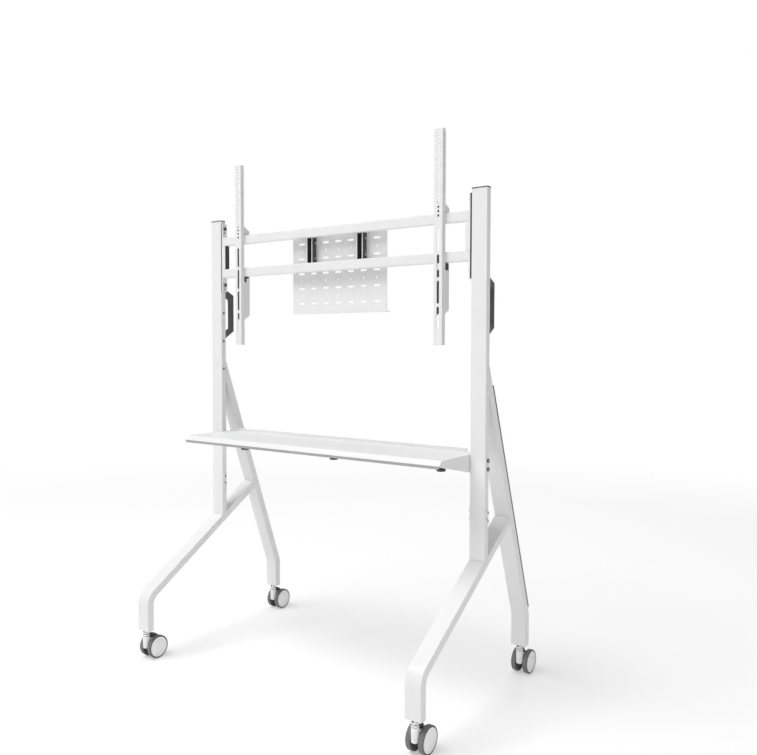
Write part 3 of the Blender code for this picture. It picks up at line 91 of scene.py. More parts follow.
# Lamps: name, place, what it points at, width and power
LAMPS = (
    ("key", (-2.2, -3.8, 8.0), (0.0, 0.0, 0.8), 5.5, 560.0),
    ("low_fill", (2.6, -1.5, 0.5), (0.53, 0.1, 0.05), 1.2, 4.8),
    ("back", (-1.0, 4.4, 4.0), (0.0, 0.0, 0.8), 2.4, 30.0),
)

# What all finishes share
EDGE_SAMPLES = 4
# An edge is rubbed where its softened normal leans off the flat one: fully where their dot
# product is the first value, and not at all where it is the second.
RUB_RANGE = (0.80, 0.99)
RUB_PATCH = 0.02  # size of the patches in which the rubbing comes and goes
RUB_LEAST = 0.35
GLOSS_SHARE = 0.35  # size of the uneven gloss, as a share of the colour's mottle
COAT_ROUGHNESS = 0.25
WORN_WHITE = (0.84, 0.84, 0.84)


class Nodes:
    """A few short words for building a node tree."""

    def __init__(self, tree):
        self.tree = tree

    def add(self, kind, **values):
        node = self.tree.nodes.new(kind)
        for key, value in values.items():
            setattr(node, key, value)
        return node

    def link(self, source, target):
        self.tree.links.new(source, target)


def noise(words, place, size, detail=3.0, roughness=0.5):
    """Noise whose blobs are about size metres across."""
    node = words.add("ShaderNodeTexNoise")
    node.inputs["Scale"].default_value = 1.0 / size
    node.inputs["Detail"].default_value = detail
    node.inputs["Roughness"].default_value = roughness
    words.link(place, node.inputs["Vector"])
    return node.outputs["Fac"]


def ranged(words, value, low, high, from_low=0.3, from_high=0.7):
    """A value moved from one range to another."""
    node = words.add("ShaderNodeMapRange")
    words.link(value, node.inputs["Value"])
    node.inputs["From Min"].default_value = from_low
    node.inputs["From Max"].default_value = from_high
    node.inputs["To Min"].default_value = low
    node.inputs["To Max"].default_value = high
    return node.outputs["Result"]


def mixed(words, factor, first, second):
    """A colour between two, each a colour or another node's output."""
    node = words.add("ShaderNodeMix", data_type="RGBA")
    words.link(factor, node.inputs[0])
    for socket, value in ((node.inputs[6], first), (node.inputs[7], second)):
        if isinstance(value, tuple):
            socket.default_value = (*value, 1.0)
        else:
            words.link(value, socket)
    return node.outputs[2]


def new_finish(
    name,
    colour,
    other,
    mottle,
    roughness,
    rough_spread,
    grain,
    grain_depth,
    grain_strength,
    metallic=0.0,
    edge=0.0006,
    worn=None,
    coat=0.0,
):
    """A finish with clouded colour, uneven gloss, a fine grain and softly rounded edges."""
    material = bpy.data.materials.new(name)
    material.use_nodes = True
    words = Nodes(material.node_tree)
    shader = material.node_tree.nodes["Principled BSDF"]
    place = words.add("ShaderNodeTexCoord").outputs["Object"]
    cloud = noise(words, place, mottle, detail=4.0, roughness=0.6)
    shade = mixed(words, ranged(words, cloud, 0.0, 1.0), colour, other)
    soft = words.add("ShaderNodeBevel", samples=EDGE_SAMPLES)
    soft.inputs["Radius"].default_value = edge
    if worn:
        flat = words.add("ShaderNodeNewGeometry").outputs["Normal"]
        dot = words.add("ShaderNodeVectorMath", operation="DOT_PRODUCT")
        words.link(soft.outputs["Normal"], dot.inputs[0])
        words.link(flat, dot.inputs[1])
        rub = ranged(words, dot.outputs["Value"], 1.0, 0.0, *RUB_RANGE)
        patch = ranged(words, noise(words, place, RUB_PATCH), RUB_LEAST, 1.0)
        both = words.add("ShaderNodeMath", operation="MULTIPLY")
        words.link(rub, both.inputs[0])
        words.link(patch, both.inputs[1])
        shade = mixed(words, both.outputs["Value"], shade, worn)
    words.link(shade, shader.inputs["Base Color"])
    gloss = noise(words, place, mottle * GLOSS_SHARE)
    words.link(
        ranged(words, gloss, roughness - rough_spread, roughness + rough_spread),
        shader.inputs["Roughness"],
    )
    shader.inputs["Metallic"].default_value = metallic
    if coat:
        shader.inputs["Coat Weight"].default_value = coat
        shader.inputs["Coat Roughness"].default_value = COAT_ROUGHNESS
    bump = words.add("ShaderNodeBump")
    bump.inputs["Strength"].default_value = grain_strength
    bump.inputs["Distance"].default_value = grain_depth
    words.link(noise(words, place, grain, roughness=0.55), bump.inputs["Height"])
    words.link(soft.outputs["Normal"], bump.inputs["Normal"])
    words.link(bump.outputs["Normal"], shader.inputs["Normal"])
    return material


POWDER_COAT = new_finish(
    "powder_coat_white",
    colour=(0.80, 0.80, 0.802),
    other=(0.765, 0.765, 0.77),
    mottle=0.22,
    roughness=0.40,
    rough_spread=0.05,
    grain=0.0016,
    grain_depth=0.00006,
    grain_strength=0.35,
    edge=0.0012,
    worn=WORN_WHITE,
)
SHEET_COAT = new_finish(
    "powder_coat_sheet",
    colour=(0.80, 0.80, 0.802),
    other=(0.77, 0.77, 0.775),
    mottle=0.30,
    roughness=0.38,
    rough_spread=0.05,
    grain=0.0014,
    grain_depth=0.00005,
    grain_strength=0.35,
    edge=0.0008,
    worn=WORN_WHITE,
)
DARK_COAT = new_finish(
    "powder_coat_dark",
    colour=(0.052, 0.052, 0.055),
    other=(0.070, 0.070, 0.074),
    mottle=0.05,
    roughness=0.48,
    rough_spread=0.06,
    grain=0.0013,
    grain_depth=0.00008,
    grain_strength=0.4,
    edge=0.0006,
    worn=(0.11, 0.11, 0.115),
)
BLACK_MOULDED = new_finish(
    "moulded_black",
    colour=(0.026, 0.026, 0.028),
    other=(0.038, 0.038, 0.041),
    mottle=0.03,
    roughness=0.52,
    rough_spread=0.08,
    grain=0.0009,
    grain_depth=0.0001,
    grain_strength=0.5,
    edge=0.0007,
    worn=(0.07, 0.07, 0.075),
)
GREY_MOULDED = new_finish(
    "moulded_grey",
    colour=(0.080, 0.080, 0.084),
    other=(0.105, 0.105, 0.110),
    mottle=0.03,
    roughness=0.5,
    rough_spread=0.08,
    grain=0.0009,
    grain_depth=0.0001,
    grain_strength=0.5,
    edge=0.0008,
    worn=(0.16, 0.16, 0.165),
)
HANDLE_MOULDED = new_finish(
    "moulded_handle",
    colour=(0.070, 0.070, 0.074),
    other=(0.086, 0.086, 0.090),
    mottle=0.04,
    roughness=0.46,
    rough_spread=0.07,
    grain=0.0011,
    grain_depth=0.00012,
    grain_strength=0.5,
    edge=0.0014,
    worn=(0.17, 0.17, 0.175),
)
WHITE_MOULDED = new_finish(
    "moulded_white",
    colour=(0.88, 0.88, 0.88),
    other=(0.845, 0.845, 0.848),
    mottle=0.03,
    roughness=0.30,
    rough_spread=0.05,
    grain=0.0012,
    grain_depth=0.00005,
    grain_strength=0.3,
    edge=0.0006,
    worn=WORN_WHITE,
    coat=0.15,
)
# A lighter copy of the white moulding for the hub discs: painted light on the hubs
HUB_LIT_WHITE = new_finish(
    "hub_white_painted_light",
    colour=(0.92, 0.92, 0.92),
    other=(0.885, 0.885, 0.888),
    mottle=0.012,
    roughness=0.34,
    rough_spread=0.05,
    grain=0.001,
    grain_depth=0.00005,
    grain_strength=0.3,
    edge=0.0004,
    worn=WORN_WHITE,
)
TREAD = new_finish(
    "tyre_tread",
    colour=(0.175, 0.175, 0.180),
    other=(0.225, 0.225, 0.230),
    mottle=0.012,
    roughness=0.66,
    rough_spread=0.10,
    grain=0.0007,
    grain_depth=0.00015,
    grain_strength=0.6,
    edge=0.0004,
    worn=(0.27, 0.27, 0.275),
)
TYRE_EDGE = new_finish(
    "tyre_edge",
    colour=(0.072, 0.072, 0.075),
    other=(0.095, 0.095, 0.099),
    mottle=0.012,
    roughness=0.55,
    rough_spread=0.08,
    grain=0.0007,
    grain_depth=0.00012,
    grain_strength=0.5,
    edge=0.0004,
)
CUSHION_RUBBER = new_finish(
    "cushion_rubber",
    colour=(0.045, 0.045, 0.047),
    other=(0.062, 0.062, 0.064),
    mottle=0.01,
    roughness=0.78,
    rough_spread=0.08,
    grain=0.0008,
    grain_depth=0.00015,
    grain_strength=0.6,
    edge=0.0008,
)
ZINC = new_finish(
    "zinc_plated",
    colour=(0.56, 0.56, 0.57),
    other=(0.44, 0.44, 0.46),
    mottle=0.006,
    roughness=0.32,
    rough_spread=0.10,
    grain=0.0009,
    grain_depth=0.00004,
    grain_strength=0.3,
    metallic=1.0,
    edge=0.0003,
)
BLACK_OXIDE = new_finish(
    "black_oxide",
    colour=(0.060, 0.060, 0.064),
    other=(0.095, 0.095, 0.100),
    mottle=0.004,
    roughness=0.40,
    rough_spread=0.08,
    grain=0.0006,
    grain_depth=0.00004,
    grain_strength=0.3,
    metallic=0.6,
    edge=0.0003,
)
# Grey that paints the shade on the shelf's lip under its nose
LIP_SHADE_GREY = new_finish(
    "lip_painted_shade",
    colour=(0.33, 0.33, 0.335),
    other=(0.38, 0.38, 0.385),
    mottle=0.05,
    roughness=0.5,
    rough_spread=0.06,
    grain=0.001,
    grain_depth=0.00006,
    grain_strength=0.4,
    edge=0.0005,
)
TYRE_BACK = new_finish(
    "tyre_back",
    colour=(0.085, 0.085, 0.088),
    other=(0.115, 0.115, 0.119),
    mottle=0.012,
    roughness=0.6,
    rough_spread=0.08,
    grain=0.0008,
    grain_depth=0.0001,
    grain_strength=0.5,
    edge=0.0004,
)

# The strips behind each arm's holes and slots paint the shade inside the closed arm, black where it
# is deep and white at the lighter gap between housing and rail: lower end, upper end, finish
ARM_SHADE_STRIPS = {
    "left": ((1.410, 1.452, BLACK_MOULDED), (1.138, 1.4045, BLACK_MOULDED)),
    "right": (
        (1.410, 1.452, BLACK_MOULDED),
        (1.2835, 1.312, BLACK_MOULDED),
        (1.2645, 1.2835, WHITE_MOULDED),
        (1.138, 1.2645, BLACK_MOULDED),
    ),
}

# Which finish each kind of model node gets, by the end of its name
FINISHES = (
    ("column_cap", GREY_MOULDED),
    ("column", POWDER_COAT),
    ("front_leg", POWDER_COAT),
    ("rear_leg", POWDER_COAT),
    ("handle", HANDLE_MOULDED),
    ("end_bracket", SHEET_COAT),
    ("spacer", BLACK_MOULDED),
    ("end_insert", BLACK_MOULDED),
    ("hanger_bracket", DARK_COAT),
    ("screen_arm", SHEET_COAT),
    ("arm_hook", SHEET_COAT),
    ("latch_housing", SHEET_COAT),
    ("latch_catch", BLACK_MOULDED),
    ("cable_cover", GREY_MOULDED),
    ("rail", POWDER_COAT),
    ("device_plate", SHEET_COAT),
    ("shelf_channel", SHEET_COAT),
    ("shelf", SHEET_COAT),
    ("buffer_left", CUSHION_RUBBER),
    ("buffer_middle", CUSHION_RUBBER),
    ("buffer_right", CUSHION_RUBBER),
    ("caster_mount", WHITE_MOULDED),
    ("caster_hood", WHITE_MOULDED),
    ("caster_axle", ZINC),
    ("left_wheel", TREAD),
    ("right_wheel", TREAD),
    ("brake_pedal", BLACK_MOULDED),
)


def finish_nodes():
    """Gives each model node the finish of its kind."""
    for name, piece in nodes.items():
        for ending, material in FINISHES:
            if name.endswith(ending):
                piece.data.materials.clear()
                piece.data.materials.append(material)
                break


def add_piece(name, mesh, materials, smooth_below=SHARP):
    """An object with its finishes, at the origin, whose place is in its mesh."""
    mesh.name = name
    for material in materials:
        mesh.materials.append(material)
    mesh.shade_smooth()
    mesh.set_sharp_from_angle(angle=smooth_below)
    piece = bpy.data.objects.new(name, mesh)
    scene.collection.objects.link(piece)
    return piece


def mesh_of(shape):
    """The mesh of a finished shape, with its faces turned outward."""
    bmesh.ops.recalc_face_normals(shape, faces=shape.faces)
    mesh = bpy.data.meshes.new("piece")
    shape.to_mesh(mesh)
    shape.free()
    return mesh


def turned(place, toward):
    """The move that puts a shape's origin on place and points its Z toward a direction."""
    turn = Vector(toward).to_track_quat("Z", "Y").to_matrix().to_4x4()
    return Matrix.Translation(Vector(place)) @ turn


def ring_of(shape, turn, radii, height):
    """Vertices round the turned Z at one height, evenly spread, with a radius for each."""
    ring = []
    for i, radius in enumerate(radii):
        angle = 2 * pi * i / len(radii)
        point = Vector((radius * cos(angle), radius * sin(angle), height))
        ring.append(shape.verts.new(turn @ point))
    return ring


def lathe(profile, place, toward, steps=LATHE_STEPS, finishes=None):
    """Turns (radius, height) points about the line from place toward a direction.

    finishes holds one material number for each stretch between two points.
    """
    shape = bmesh.new()
    turn = turned(place, toward)
    rings = []
    for radius, height in profile:
        radii = [radius] * steps if radius else [0.0]
        rings.append(ring_of(shape, turn, radii, height))
    for number, (a, b) in enumerate(zip(rings, rings[1:])):
        made = []
        for i in range(steps):
            j = (i + 1) % steps
            if len(a) == 1 and len(b) > 1:
                made.append(shape.faces.new((a[0], b[i], b[j])))
            elif len(b) == 1 and len(a) > 1:
                made.append(shape.faces.new((a[i], a[j], b[0])))
            elif len(a) > 1:
                made.append(shape.faces.new((a[i], a[j], b[j], b[i])))
        for face in made:
            face.material_index = finishes[number] if finishes else 0
    return mesh_of(shape)


def rounded(piece, width, segments=3):
    """Rounds a piece's sharp edges."""
    modifier = piece.modifiers.new("soft_edges", "BEVEL")
    modifier.width = width
    modifier.segments = segments
    modifier.limit_method = "ANGLE"
    modifier.angle_limit = SHARP
    modifier.use_clamp_overlap = True


def prism(outline, ends, plane):
    """An outline given a thickness. plane is yz (along X), xz (along Y) or xy (along Z)."""
    shape = bmesh.new()
    low, high = ends
    near = []
    far = []
    for a, b in outline:
        for points, depth in ((near, low), (far, high)):
            place = {"yz": (depth, a, b), "xz": (a, depth, b), "xy": (a, b, depth)}[plane]
            points.append(shape.verts.new(place))
    shape.faces.new(near)
    shape.faces.new(far[::-1])
    count = len(outline)
    for i in range(count):
        j = (i + 1) % count
        shape.faces.new((near[j], near[i], far[i], far[j]))
    return mesh_of(shape)


def rectangle(low_a, high_a, low_b, high_b):
    """An outline with its sides along both directions of its plane."""
    return [(low_a, low_b), (high_a, low_b), (high_a, high_b), (low_a, high_b)]


def arc(middle, radius, start, end, steps):
    """Points on a round stretch, from one angle to another."""
    return [
        (
            middle[0] + radius * cos(start + (end - start) * i / steps),
            middle[1] + radius * sin(start + (end - start) * i / steps),
        )
        for i in range(steps + 1)
    ]


def joined(meshes):
    """Several meshes as one."""
    shape = bmesh.new()
    for mesh in meshes:
        shape.from_mesh(mesh)
        bpy.data.meshes.remove(mesh)
    return mesh_of(shape)


# A wheel's outline from its inner face out: radius and distance, in millimetres, then the finish
# of the stretch that starts there (0 tread, 1 edge, 2 inner face)
TYRE_OUTLINE = (
    (5.0, 3.0, 2),
    (28.5, 3.0, 2),
    (29.6, 2.2, 2),
    (30.4, 0.6, 2),
    (34.9, 0.1, 1),
    (36.2, 0.4, 1),
    (37.0, 1.2, 0),
    (37.4, 2.4, 0),
    (37.5, 4.6, 0),
    (36.9, 4.9, 1),
    (36.9, 5.5, 0),
    (37.5, 5.8, 0),
    (37.5, 9.8, 0),
    (36.9, 10.1, 1),
    (36.9, 10.7, 0),
    (37.5, 11.0, 0),
    (37.4, 13.2, 0),
    (36.9, 14.6, 1),
    (35.9, 15.5, 1),
    (34.6, 16.0, 1),
    (33.4, 15.9, 1),
    (32.8, 15.4, 1),
    (32.6, 14.6, 1),
    (32.4, 13.8, 1),
)
# The hub disc, from its rim in to the middle: radius and distance
HUB_OUTLINE = (
    (32.55, 14.0),
    (32.5, 15.0),
    (32.1, 15.35),
    (31.3, 15.45),
    (30.6, 15.3),
    (30.2, 15.05),
    (27.4, 15.05),
    (27.1, 14.85),
    (26.5, 14.85),
    (26.2, 15.05),
    (12.0, 15.1),
    (11.6, 15.2),
    (6.0, 15.25),
    (0.0, 15.3),
)

WHEEL_STEPS = 72

# Places on a caster, in millimetres. LOW and HIGH are heights above the floor, BACK runs back
# from the stem, and HALF is half of a width across.
CROWN_BLOCKS = 4
CROWN_TURN = -57.3  # degrees round the stem to the middle of the first block
CROWN_SPREAD = radians(17)  # to each side of a block's middle
CROWN_RADII = (8.5, 10.2)
CROWN_LOW = 92.3
CROWN_HIGH = 97.7
CORE_RADIUS = 8.8
CORE_LOW = 92.0
CORE_HIGH = 98.0
CORE_STEPS = 48
COLLAR_LOW = 85.5
COLLAR_STEP = 86.9
COLLAR_HIGH = 92.5
HOOD_HIGH = 85.2
GROOVE_HIGH = 80.4
GROOVE_LOW = 78.9
TUBE_RADIUS = 10.9
# Dark rings in the grooves of hood and collar, which paint the grooves' shade
GROOVE_SHADE_RADII = (9.0, 10.5)
WEB_RADIUS = 19.4
WEB_HALF = 8.6
WEB_ARC = (radians(-18), radians(198))
EAR_IN = 8.8
EAR_OUT = 10.8
PIVOT_BACK = 20.0
PIVOT_HEIGHT = 79.0
# Profiles round the stem: radius and height
HOOD_PROFILE = (
    (5.4, HOOD_HIGH - 4.0),
    (5.4, HOOD_HIGH),
    (TUBE_RADIUS - 0.6, HOOD_HIGH),
    (TUBE_RADIUS, HOOD_HIGH - 0.6),
    (TUBE_RADIUS, GROOVE_HIGH),
    (TUBE_RADIUS - 1.0, GROOVE_HIGH - 0.1),
    (TUBE_RADIUS - 1.0, GROOVE_LOW + 0.1),
    (TUBE_RADIUS, GROOVE_LOW),
    (TUBE_RADIUS, 41.0),
    (TUBE_RADIUS - 0.7, 39.0),
    (TUBE_RADIUS - 2.7, 37.8),
    (4.0, 37.3),
    (0.0, 37.2),
)
COLLAR_PROFILE = (
    (4.9, 62.0),
    (4.9, COLLAR_LOW),
    (9.9, COLLAR_LOW),
    (9.9, COLLAR_STEP),
    (10.4, COLLAR_STEP + 0.1),
    (10.8, COLLAR_STEP + 0.5),
    (10.8, COLLAR_HIGH - 0.6),
    (10.2, COLLAR_HIGH),
    (6.0, COLLAR_HIGH),
)
CORE_PROFILE = (
    (0.0, CORE_LOW),
    (CORE_RADIUS, CORE_LOW),
    (CORE_RADIUS, CORE_HIGH),
    (0.0, CORE_HIGH),
)
# Outlines seen from the side: depth back from the stem and height
EAR_OUTLINE = (
    (8.0, 42.0),
    (22.5, 42.0),
    (24.0, 42.7),
    (24.5, 44.2),
    (24.5, 63.5),
    (23.6, 65.2),
    (17.0, 69.8),
    (15.5, 70.4),
    (8.0, 70.4),
)
BLOCK_OUTLINE = ((6.0, 44.0), (23.6, 44.0), (23.6, 65.0), (16.0, 70.0), (6.0, 70.0))
LEVER_OUTLINE = (
    (9.4, 87.4),
    (12.6, 86.6),
    (15.0, 83.2),
    (17.4, 77.0),
    (20.4, 74.0),
    (30.0, 70.0),
    (46.0, 62.4),
    (58.0, 56.2),
    (64.0, 53.0),
    (66.6, 51.4),
    (67.4, 49.8),
    (66.6, 48.2),
    (64.6, 47.6),
    (60.0, 49.4),
    (46.0, 56.6),
    (32.0, 63.6),
    (25.4, 67.4),
    (18.6, 71.6),
    (10.4, 71.6),
    (9.0, 73.0),
)
LEVER_FRONT_OUTLINE = (
    (9.6, 86.8),
    (12.2, 86.2),
    (14.8, 82.6),
    (17.2, 76.6),
    (19.4, 74.2),
    (21.0, 72.4),
    (19.0, 71.4),
    (10.4, 71.2),
    (8.8, 72.8),
)
LEVER_HALF = 8.5
LEVER_FRONT_HALF = 10.4
NECK_HALF = 4.2
NECK_RADIUS = 3.6
NECK_ARC = (radians(-20), radians(200))
NECK_FOOT = ((16.5, 72.0), (23.5, 70.4))
PIN_PROFILE = ((0.0, -5.4), (1.8, -5.4), (1.8, 5.4), (0.0, 5.4))
PIN_STEPS = 20
# The ribs for the toe: the first one's depth and height, then the step to the next
RIBS = 4
RIB_PLACE = (64.0, 53.0)
RIB_STEP = (-3.6, 1.88)
RIB_HALF = 6.9
RIB_RADIUS = 0.9
RIB_ARC = (radians(-30), radians(150))

# Screw heads: radius, height, the socket's reach and the finishes of head and socket
# A black socket finish paints the shade inside a socket, which is only SOCKET_DEPTH deep
LEG_SCREW = (6.7 * MM, 4.0 * MM, 3.9 * MM, WHITE_MOULDED, BLACK_MOULDED)
SHELF_SCREW = (6.0 * MM, 4.0 * MM, 3.3 * MM, GREY_MOULDED, ZINC)
FRAME_SCREW = (6.7 * MM, 4.1 * MM, 3.2 * MM, BLACK_OXIDE, BLACK_MOULDED)
LOCK_SCREW = (3.7 * MM, 2.2 * MM, 1.9 * MM, ZINC, BLACK_MOULDED)
HANGER_SCREW = (4.2 * MM, 2.2 * MM, 1.2 * MM, ZINC, BLACK_MOULDED)
# A head's side, from its foot up: shares of its radius and of its height
HEAD_PROFILE = ((1.0, 0.0), (1.0, 0.45), (0.96, 0.70), (0.86, 0.88), (0.72, 1.0))
HEAD_STEPS = 36
HEAD_SHARP = radians(30)
SOCKET_DEPTH = 0.3 * MM  # shallow, because the model's own head lies just below

# Where the screws sit. Heights are above the floor.
LEG_SCREW_HEIGHTS = (0.547, 0.571)
SHELF_SCREW_HEIGHTS = (0.695, 0.719)
FRAME_SCREW_HEIGHTS = (1.261, 1.461)
HANGER_SCREW_HEIGHTS = (1.332, 1.383)
SHELF_SCREW_BACK = 15.0 * MM  # from the column's front
HANGER_SCREW_BACK = 15.6 * MM  # from the hanger's front
LOCK_SCREW_FORE = 3.5 * MM  # from the frame screw
LOCK_SCREW_BELOW = 15.5 * MM
BRACKET_FACE = 0.499  # the end brackets' inner faces, from the cart's middle
HEAD_RAISED = 0.2 * MM  # off a column's face
HEAD_SUNK = 0.1 * MM  # into the face of a bracket or hanger

# Strips of painted shade inside the arms, and the arms' pads
STRIP_HALF = 8.2 * MM
STRIP_BACK = 2.3 * MM  # from the arm's front
STRIP_THICKNESS = 1.0 * MM
PAD_WIDTH = 3.4 * MM
PAD_INSET = 0.2 * MM  # from the arm's sides
PAD_SHORT = 1.0 * MM  # of the rail's upper and lower edge
PAD_GAPS = (0.05 * MM, 0.3 * MM)  # to the arm and to the rail

# The shelf lip's painted shade, and the painted highlights down the hangers' edges
LIP_SHADE_HEIGHTS = (0.7128, 0.7208)
LIP_SHADE_DEPTHS = (-1.2 * MM, 0.3 * MM)  # from the shelf's front
LIP_SHADE_SHORT = 1.0 * MM  # of each column
HIGHLIGHT_WIDTH = 2.6 * MM
HIGHLIGHT_DEPTHS = (-0.5 * MM, 0.3 * MM)  # from the hanger's front
HIGHLIGHT_SHORT = 1.0 * MM  # of each rail


def mm_points(points, start=0.0):
    """Millimetre pairs as metre pairs, the first of each counted from start."""
    return [(start + a * MM, b * MM) for a, b in points]


def stem_of(corner):
    """The middle of a caster's stem."""
    low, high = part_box(f"{corner}_caster_mount")
    return (low + high) / 2


def add_wheel(corner, side, sign):
    """A tyre with two grooves, dark at its edges, and the hub disc in it."""
    node = f"{corner}_{side}_wheel"
    body = f"{corner}_wheel_{side}"
    low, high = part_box(node)
    middle = (low + high) / 2
    inner_x = low.x if sign > 0 else high.x
    place = (inner_x, middle.y, middle.z)
    outline = mm_points([point[:2] for point in TYRE_OUTLINE])
    numbers = [point[2] for point in TYRE_OUTLINE]
    tyre_mesh = lathe(outline, place, (sign, 0, 0), WHEEL_STEPS, numbers)
    tyre = add_piece(f"{node}_tyre", tyre_mesh, (TREAD, TYRE_EDGE, TYRE_BACK))
    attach(tyre, body)
    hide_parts(node)
    hub_mesh = lathe(mm_points(HUB_OUTLINE), place, (sign, 0, 0), WHEEL_STEPS)
    hub = add_piece(f"{node}_hub", hub_mesh, (HUB_LIT_WHITE,))
    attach(hub, body)


def add_hood(corner):
    """The swivel body: a round housing on the stem, a block with two ears and a dark web."""
    node = f"{corner}_caster_hood"
    body = f"{corner}_swivel"
    stem = stem_of(corner)
    axle_low, axle_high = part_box(f"{corner}_caster_axle")
    axle = (axle_low + axle_high) / 2
    tube_mesh = lathe(mm_points(HOOD_PROFILE), (stem.x, stem.y, 0.0), UP)
    tube = add_piece(f"{corner}_hood_tube", tube_mesh, (WHITE_MOULDED,))
    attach(tube, body)
    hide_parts(node)
    add_groove_shade(f"{corner}_hood_groove_shade", stem, GROOVE_LOW, GROOVE_HIGH, body)
    for side, sign in SIDES:
        span = sorted((stem.x + sign * EAR_IN * MM, stem.x + sign * EAR_OUT * MM))
        ear_mesh = prism(mm_points(EAR_OUTLINE, stem.y), span, "yz")
        plate = add_piece(f"{corner}_hood_{side}_ear", ear_mesh, (WHITE_MOULDED,))
        rounded(plate, width=0.4 * MM, segments=2)
        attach(plate, body)
    span = (stem.x - EAR_IN * MM, stem.x + EAR_IN * MM)
    block_mesh = prism(mm_points(BLOCK_OUTLINE, stem.y), span, "yz")
    middle = add_piece(f"{corner}_hood_block", block_mesh, (WHITE_MOULDED,))
    rounded(middle, width=0.5 * MM, segments=2)
    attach(middle, body)
    outline = arc((axle.y, axle.z), WEB_RADIUS * MM, *WEB_ARC, steps=36)
    span = (stem.x - WEB_HALF * MM, stem.x + WEB_HALF * MM)
    web = add_piece(f"{corner}_hood_web", prism(outline, span, "yz"), (BLACK_MOULDED,))
    rounded(web, width=1.0 * MM)
    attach(web, body)


def add_groove_shade(name, stem, low, high, body):
    """A dark ring that fills a groove round the stem: painted shade in the groove."""
    inner, outer = GROOVE_SHADE_RADII
    profile = [(inner, low), (outer, low), (outer, high), (inner, high), (inner, low)]
    groove_shade_mesh = lathe(mm_points(profile), (stem.x, stem.y, 0.0), UP)
    ring = add_piece(name, groove_shade_mesh, (BLACK_MOULDED,))
    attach(ring, body)


def add_mount(corner):
    """The collar under the foot with a dark ring of painted shade in its groove, and a crown of
    blocks on a dark core.
    """
    node = f"{corner}_caster_mount"
    stem = stem_of(corner)
    place = (stem.x, stem.y, 0.0)
    collar_mesh = lathe(mm_points(COLLAR_PROFILE), place, UP)
    collar = add_piece(f"{corner}_mount_collar", collar_mesh, (WHITE_MOULDED,))
    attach(collar, "cart_frame")
    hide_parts(node)
    add_groove_shade(f"{corner}_mount_groove_shade", stem, COLLAR_LOW, COLLAR_STEP, "cart_frame")
    core_mesh = lathe(mm_points(CORE_PROFILE), place, UP, CORE_STEPS)
    core = add_piece(f"{corner}_mount_core", core_mesh, (BLACK_MOULDED,))
    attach(core, "cart_frame")
    blocks = []
    for i in range(CROWN_BLOCKS):
        middle = radians(CROWN_TURN + 360 / CROWN_BLOCKS * i)
        start, end = middle - CROWN_SPREAD, middle + CROWN_SPREAD
        outline = arc((stem.x, stem.y), CROWN_RADII[1] * MM, start, end, steps=6)
        outline += arc((stem.x, stem.y), CROWN_RADII[0] * MM, end, start, steps=6)
        blocks.append(prism(outline, (CROWN_LOW * MM, CROWN_HIGH * MM), "xy"))
    crown = add_piece(f"{corner}_mount_crown", joined(blocks), (WHITE_MOULDED,))
    rounded(crown, width=0.3 * MM, segments=2)
    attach(crown, "cart_frame")


def add_pedal(corner):
    """The brake lever: a blade with a wide front, a neck on its pin, and ribs for the toe."""
    node = f"{corner}_brake_pedal"
    body = f"{corner}_pedal"
    stem = stem_of(corner)
    pivot = (stem.y + PIVOT_BACK * MM, PIVOT_HEIGHT * MM)
    neck = arc(pivot, NECK_RADIUS * MM, *NECK_ARC, steps=14)
    neck += mm_points(NECK_FOOT, stem.y)
    for label, outline, half in (
        ("blade", mm_points(LEVER_OUTLINE, stem.y), LEVER_HALF),
        ("front", mm_points(LEVER_FRONT_OUTLINE, stem.y), LEVER_FRONT_HALF),
        ("neck", neck, NECK_HALF),
    ):
        span = (stem.x - half * MM, stem.x + half * MM)
        lever_mesh = prism(outline, span, "yz")
        piece = add_piece(f"{corner}_pedal_{label}", lever_mesh, (BLACK_MOULDED,))
        rounded(piece, width=0.6 * MM)
        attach(piece, body)
        if label == "blade":
            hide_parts(node)
    ribs = []
    span = (stem.x - RIB_HALF * MM, stem.x + RIB_HALF * MM)
    places = [(RIB_PLACE[0] + i * RIB_STEP[0], RIB_PLACE[1] + i * RIB_STEP[1]) for i in range(RIBS)]
    for place in mm_points(places, stem.y):
        ribs.append(prism(arc(place, RIB_RADIUS * MM, *RIB_ARC, steps=6), span, "yz"))
    grip = add_piece(f"{corner}_pedal_ribs", joined(ribs), (BLACK_MOULDED,))
    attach(grip, body)
    pin_mesh = lathe(mm_points(PIN_PROFILE), (stem.x, *pivot), (1, 0, 0), PIN_STEPS)
    pin = add_piece(f"{corner}_pedal_pin", pin_mesh, (ZINC,))
    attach(pin, body)


def hexagon_radii(reach, steps):
    """Radii all round a hexagon whose corners lie at reach."""
    radii = []
    for i in range(steps):
        off_flat = (2 * pi * i / steps + pi / 6) % (pi / 3) - pi / 6
        radii.append(reach * cos(pi / 6) / cos(off_flat))
    return radii


def screw_head(name, place, toward, kind):
    """A button head with a hexagonal socket, standing on place and pointing toward a direction."""
    radius, height, socket, *finishes = kind
    shape = bmesh.new()
    turn = turned(place, toward)
    rings = []
    for radius_share, height_share in HEAD_PROFILE:
        radii = [radius * radius_share] * HEAD_STEPS
        rings.append(ring_of(shape, turn, radii, height * height_share))
    for depth in (height, height - SOCKET_DEPTH):
        rings.append(ring_of(shape, turn, hexagon_radii(socket, HEAD_STEPS), depth))
    for number, (a, b) in enumerate(zip(rings, rings[1:])):
        for i in range(HEAD_STEPS):
            j = (i + 1) % HEAD_STEPS
            face = shape.faces.new((a[i], a[j], b[j], b[i]))
            face.material_index = 1 if number == len(HEAD_PROFILE) else 0
    shape.faces.new(rings[-1]).material_index = 1
    shape.faces.new(rings[0][::-1])
    head = add_piece(name, mesh_of(shape), finishes, smooth_below=HEAD_SHARP)
    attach(head, "cart_frame")


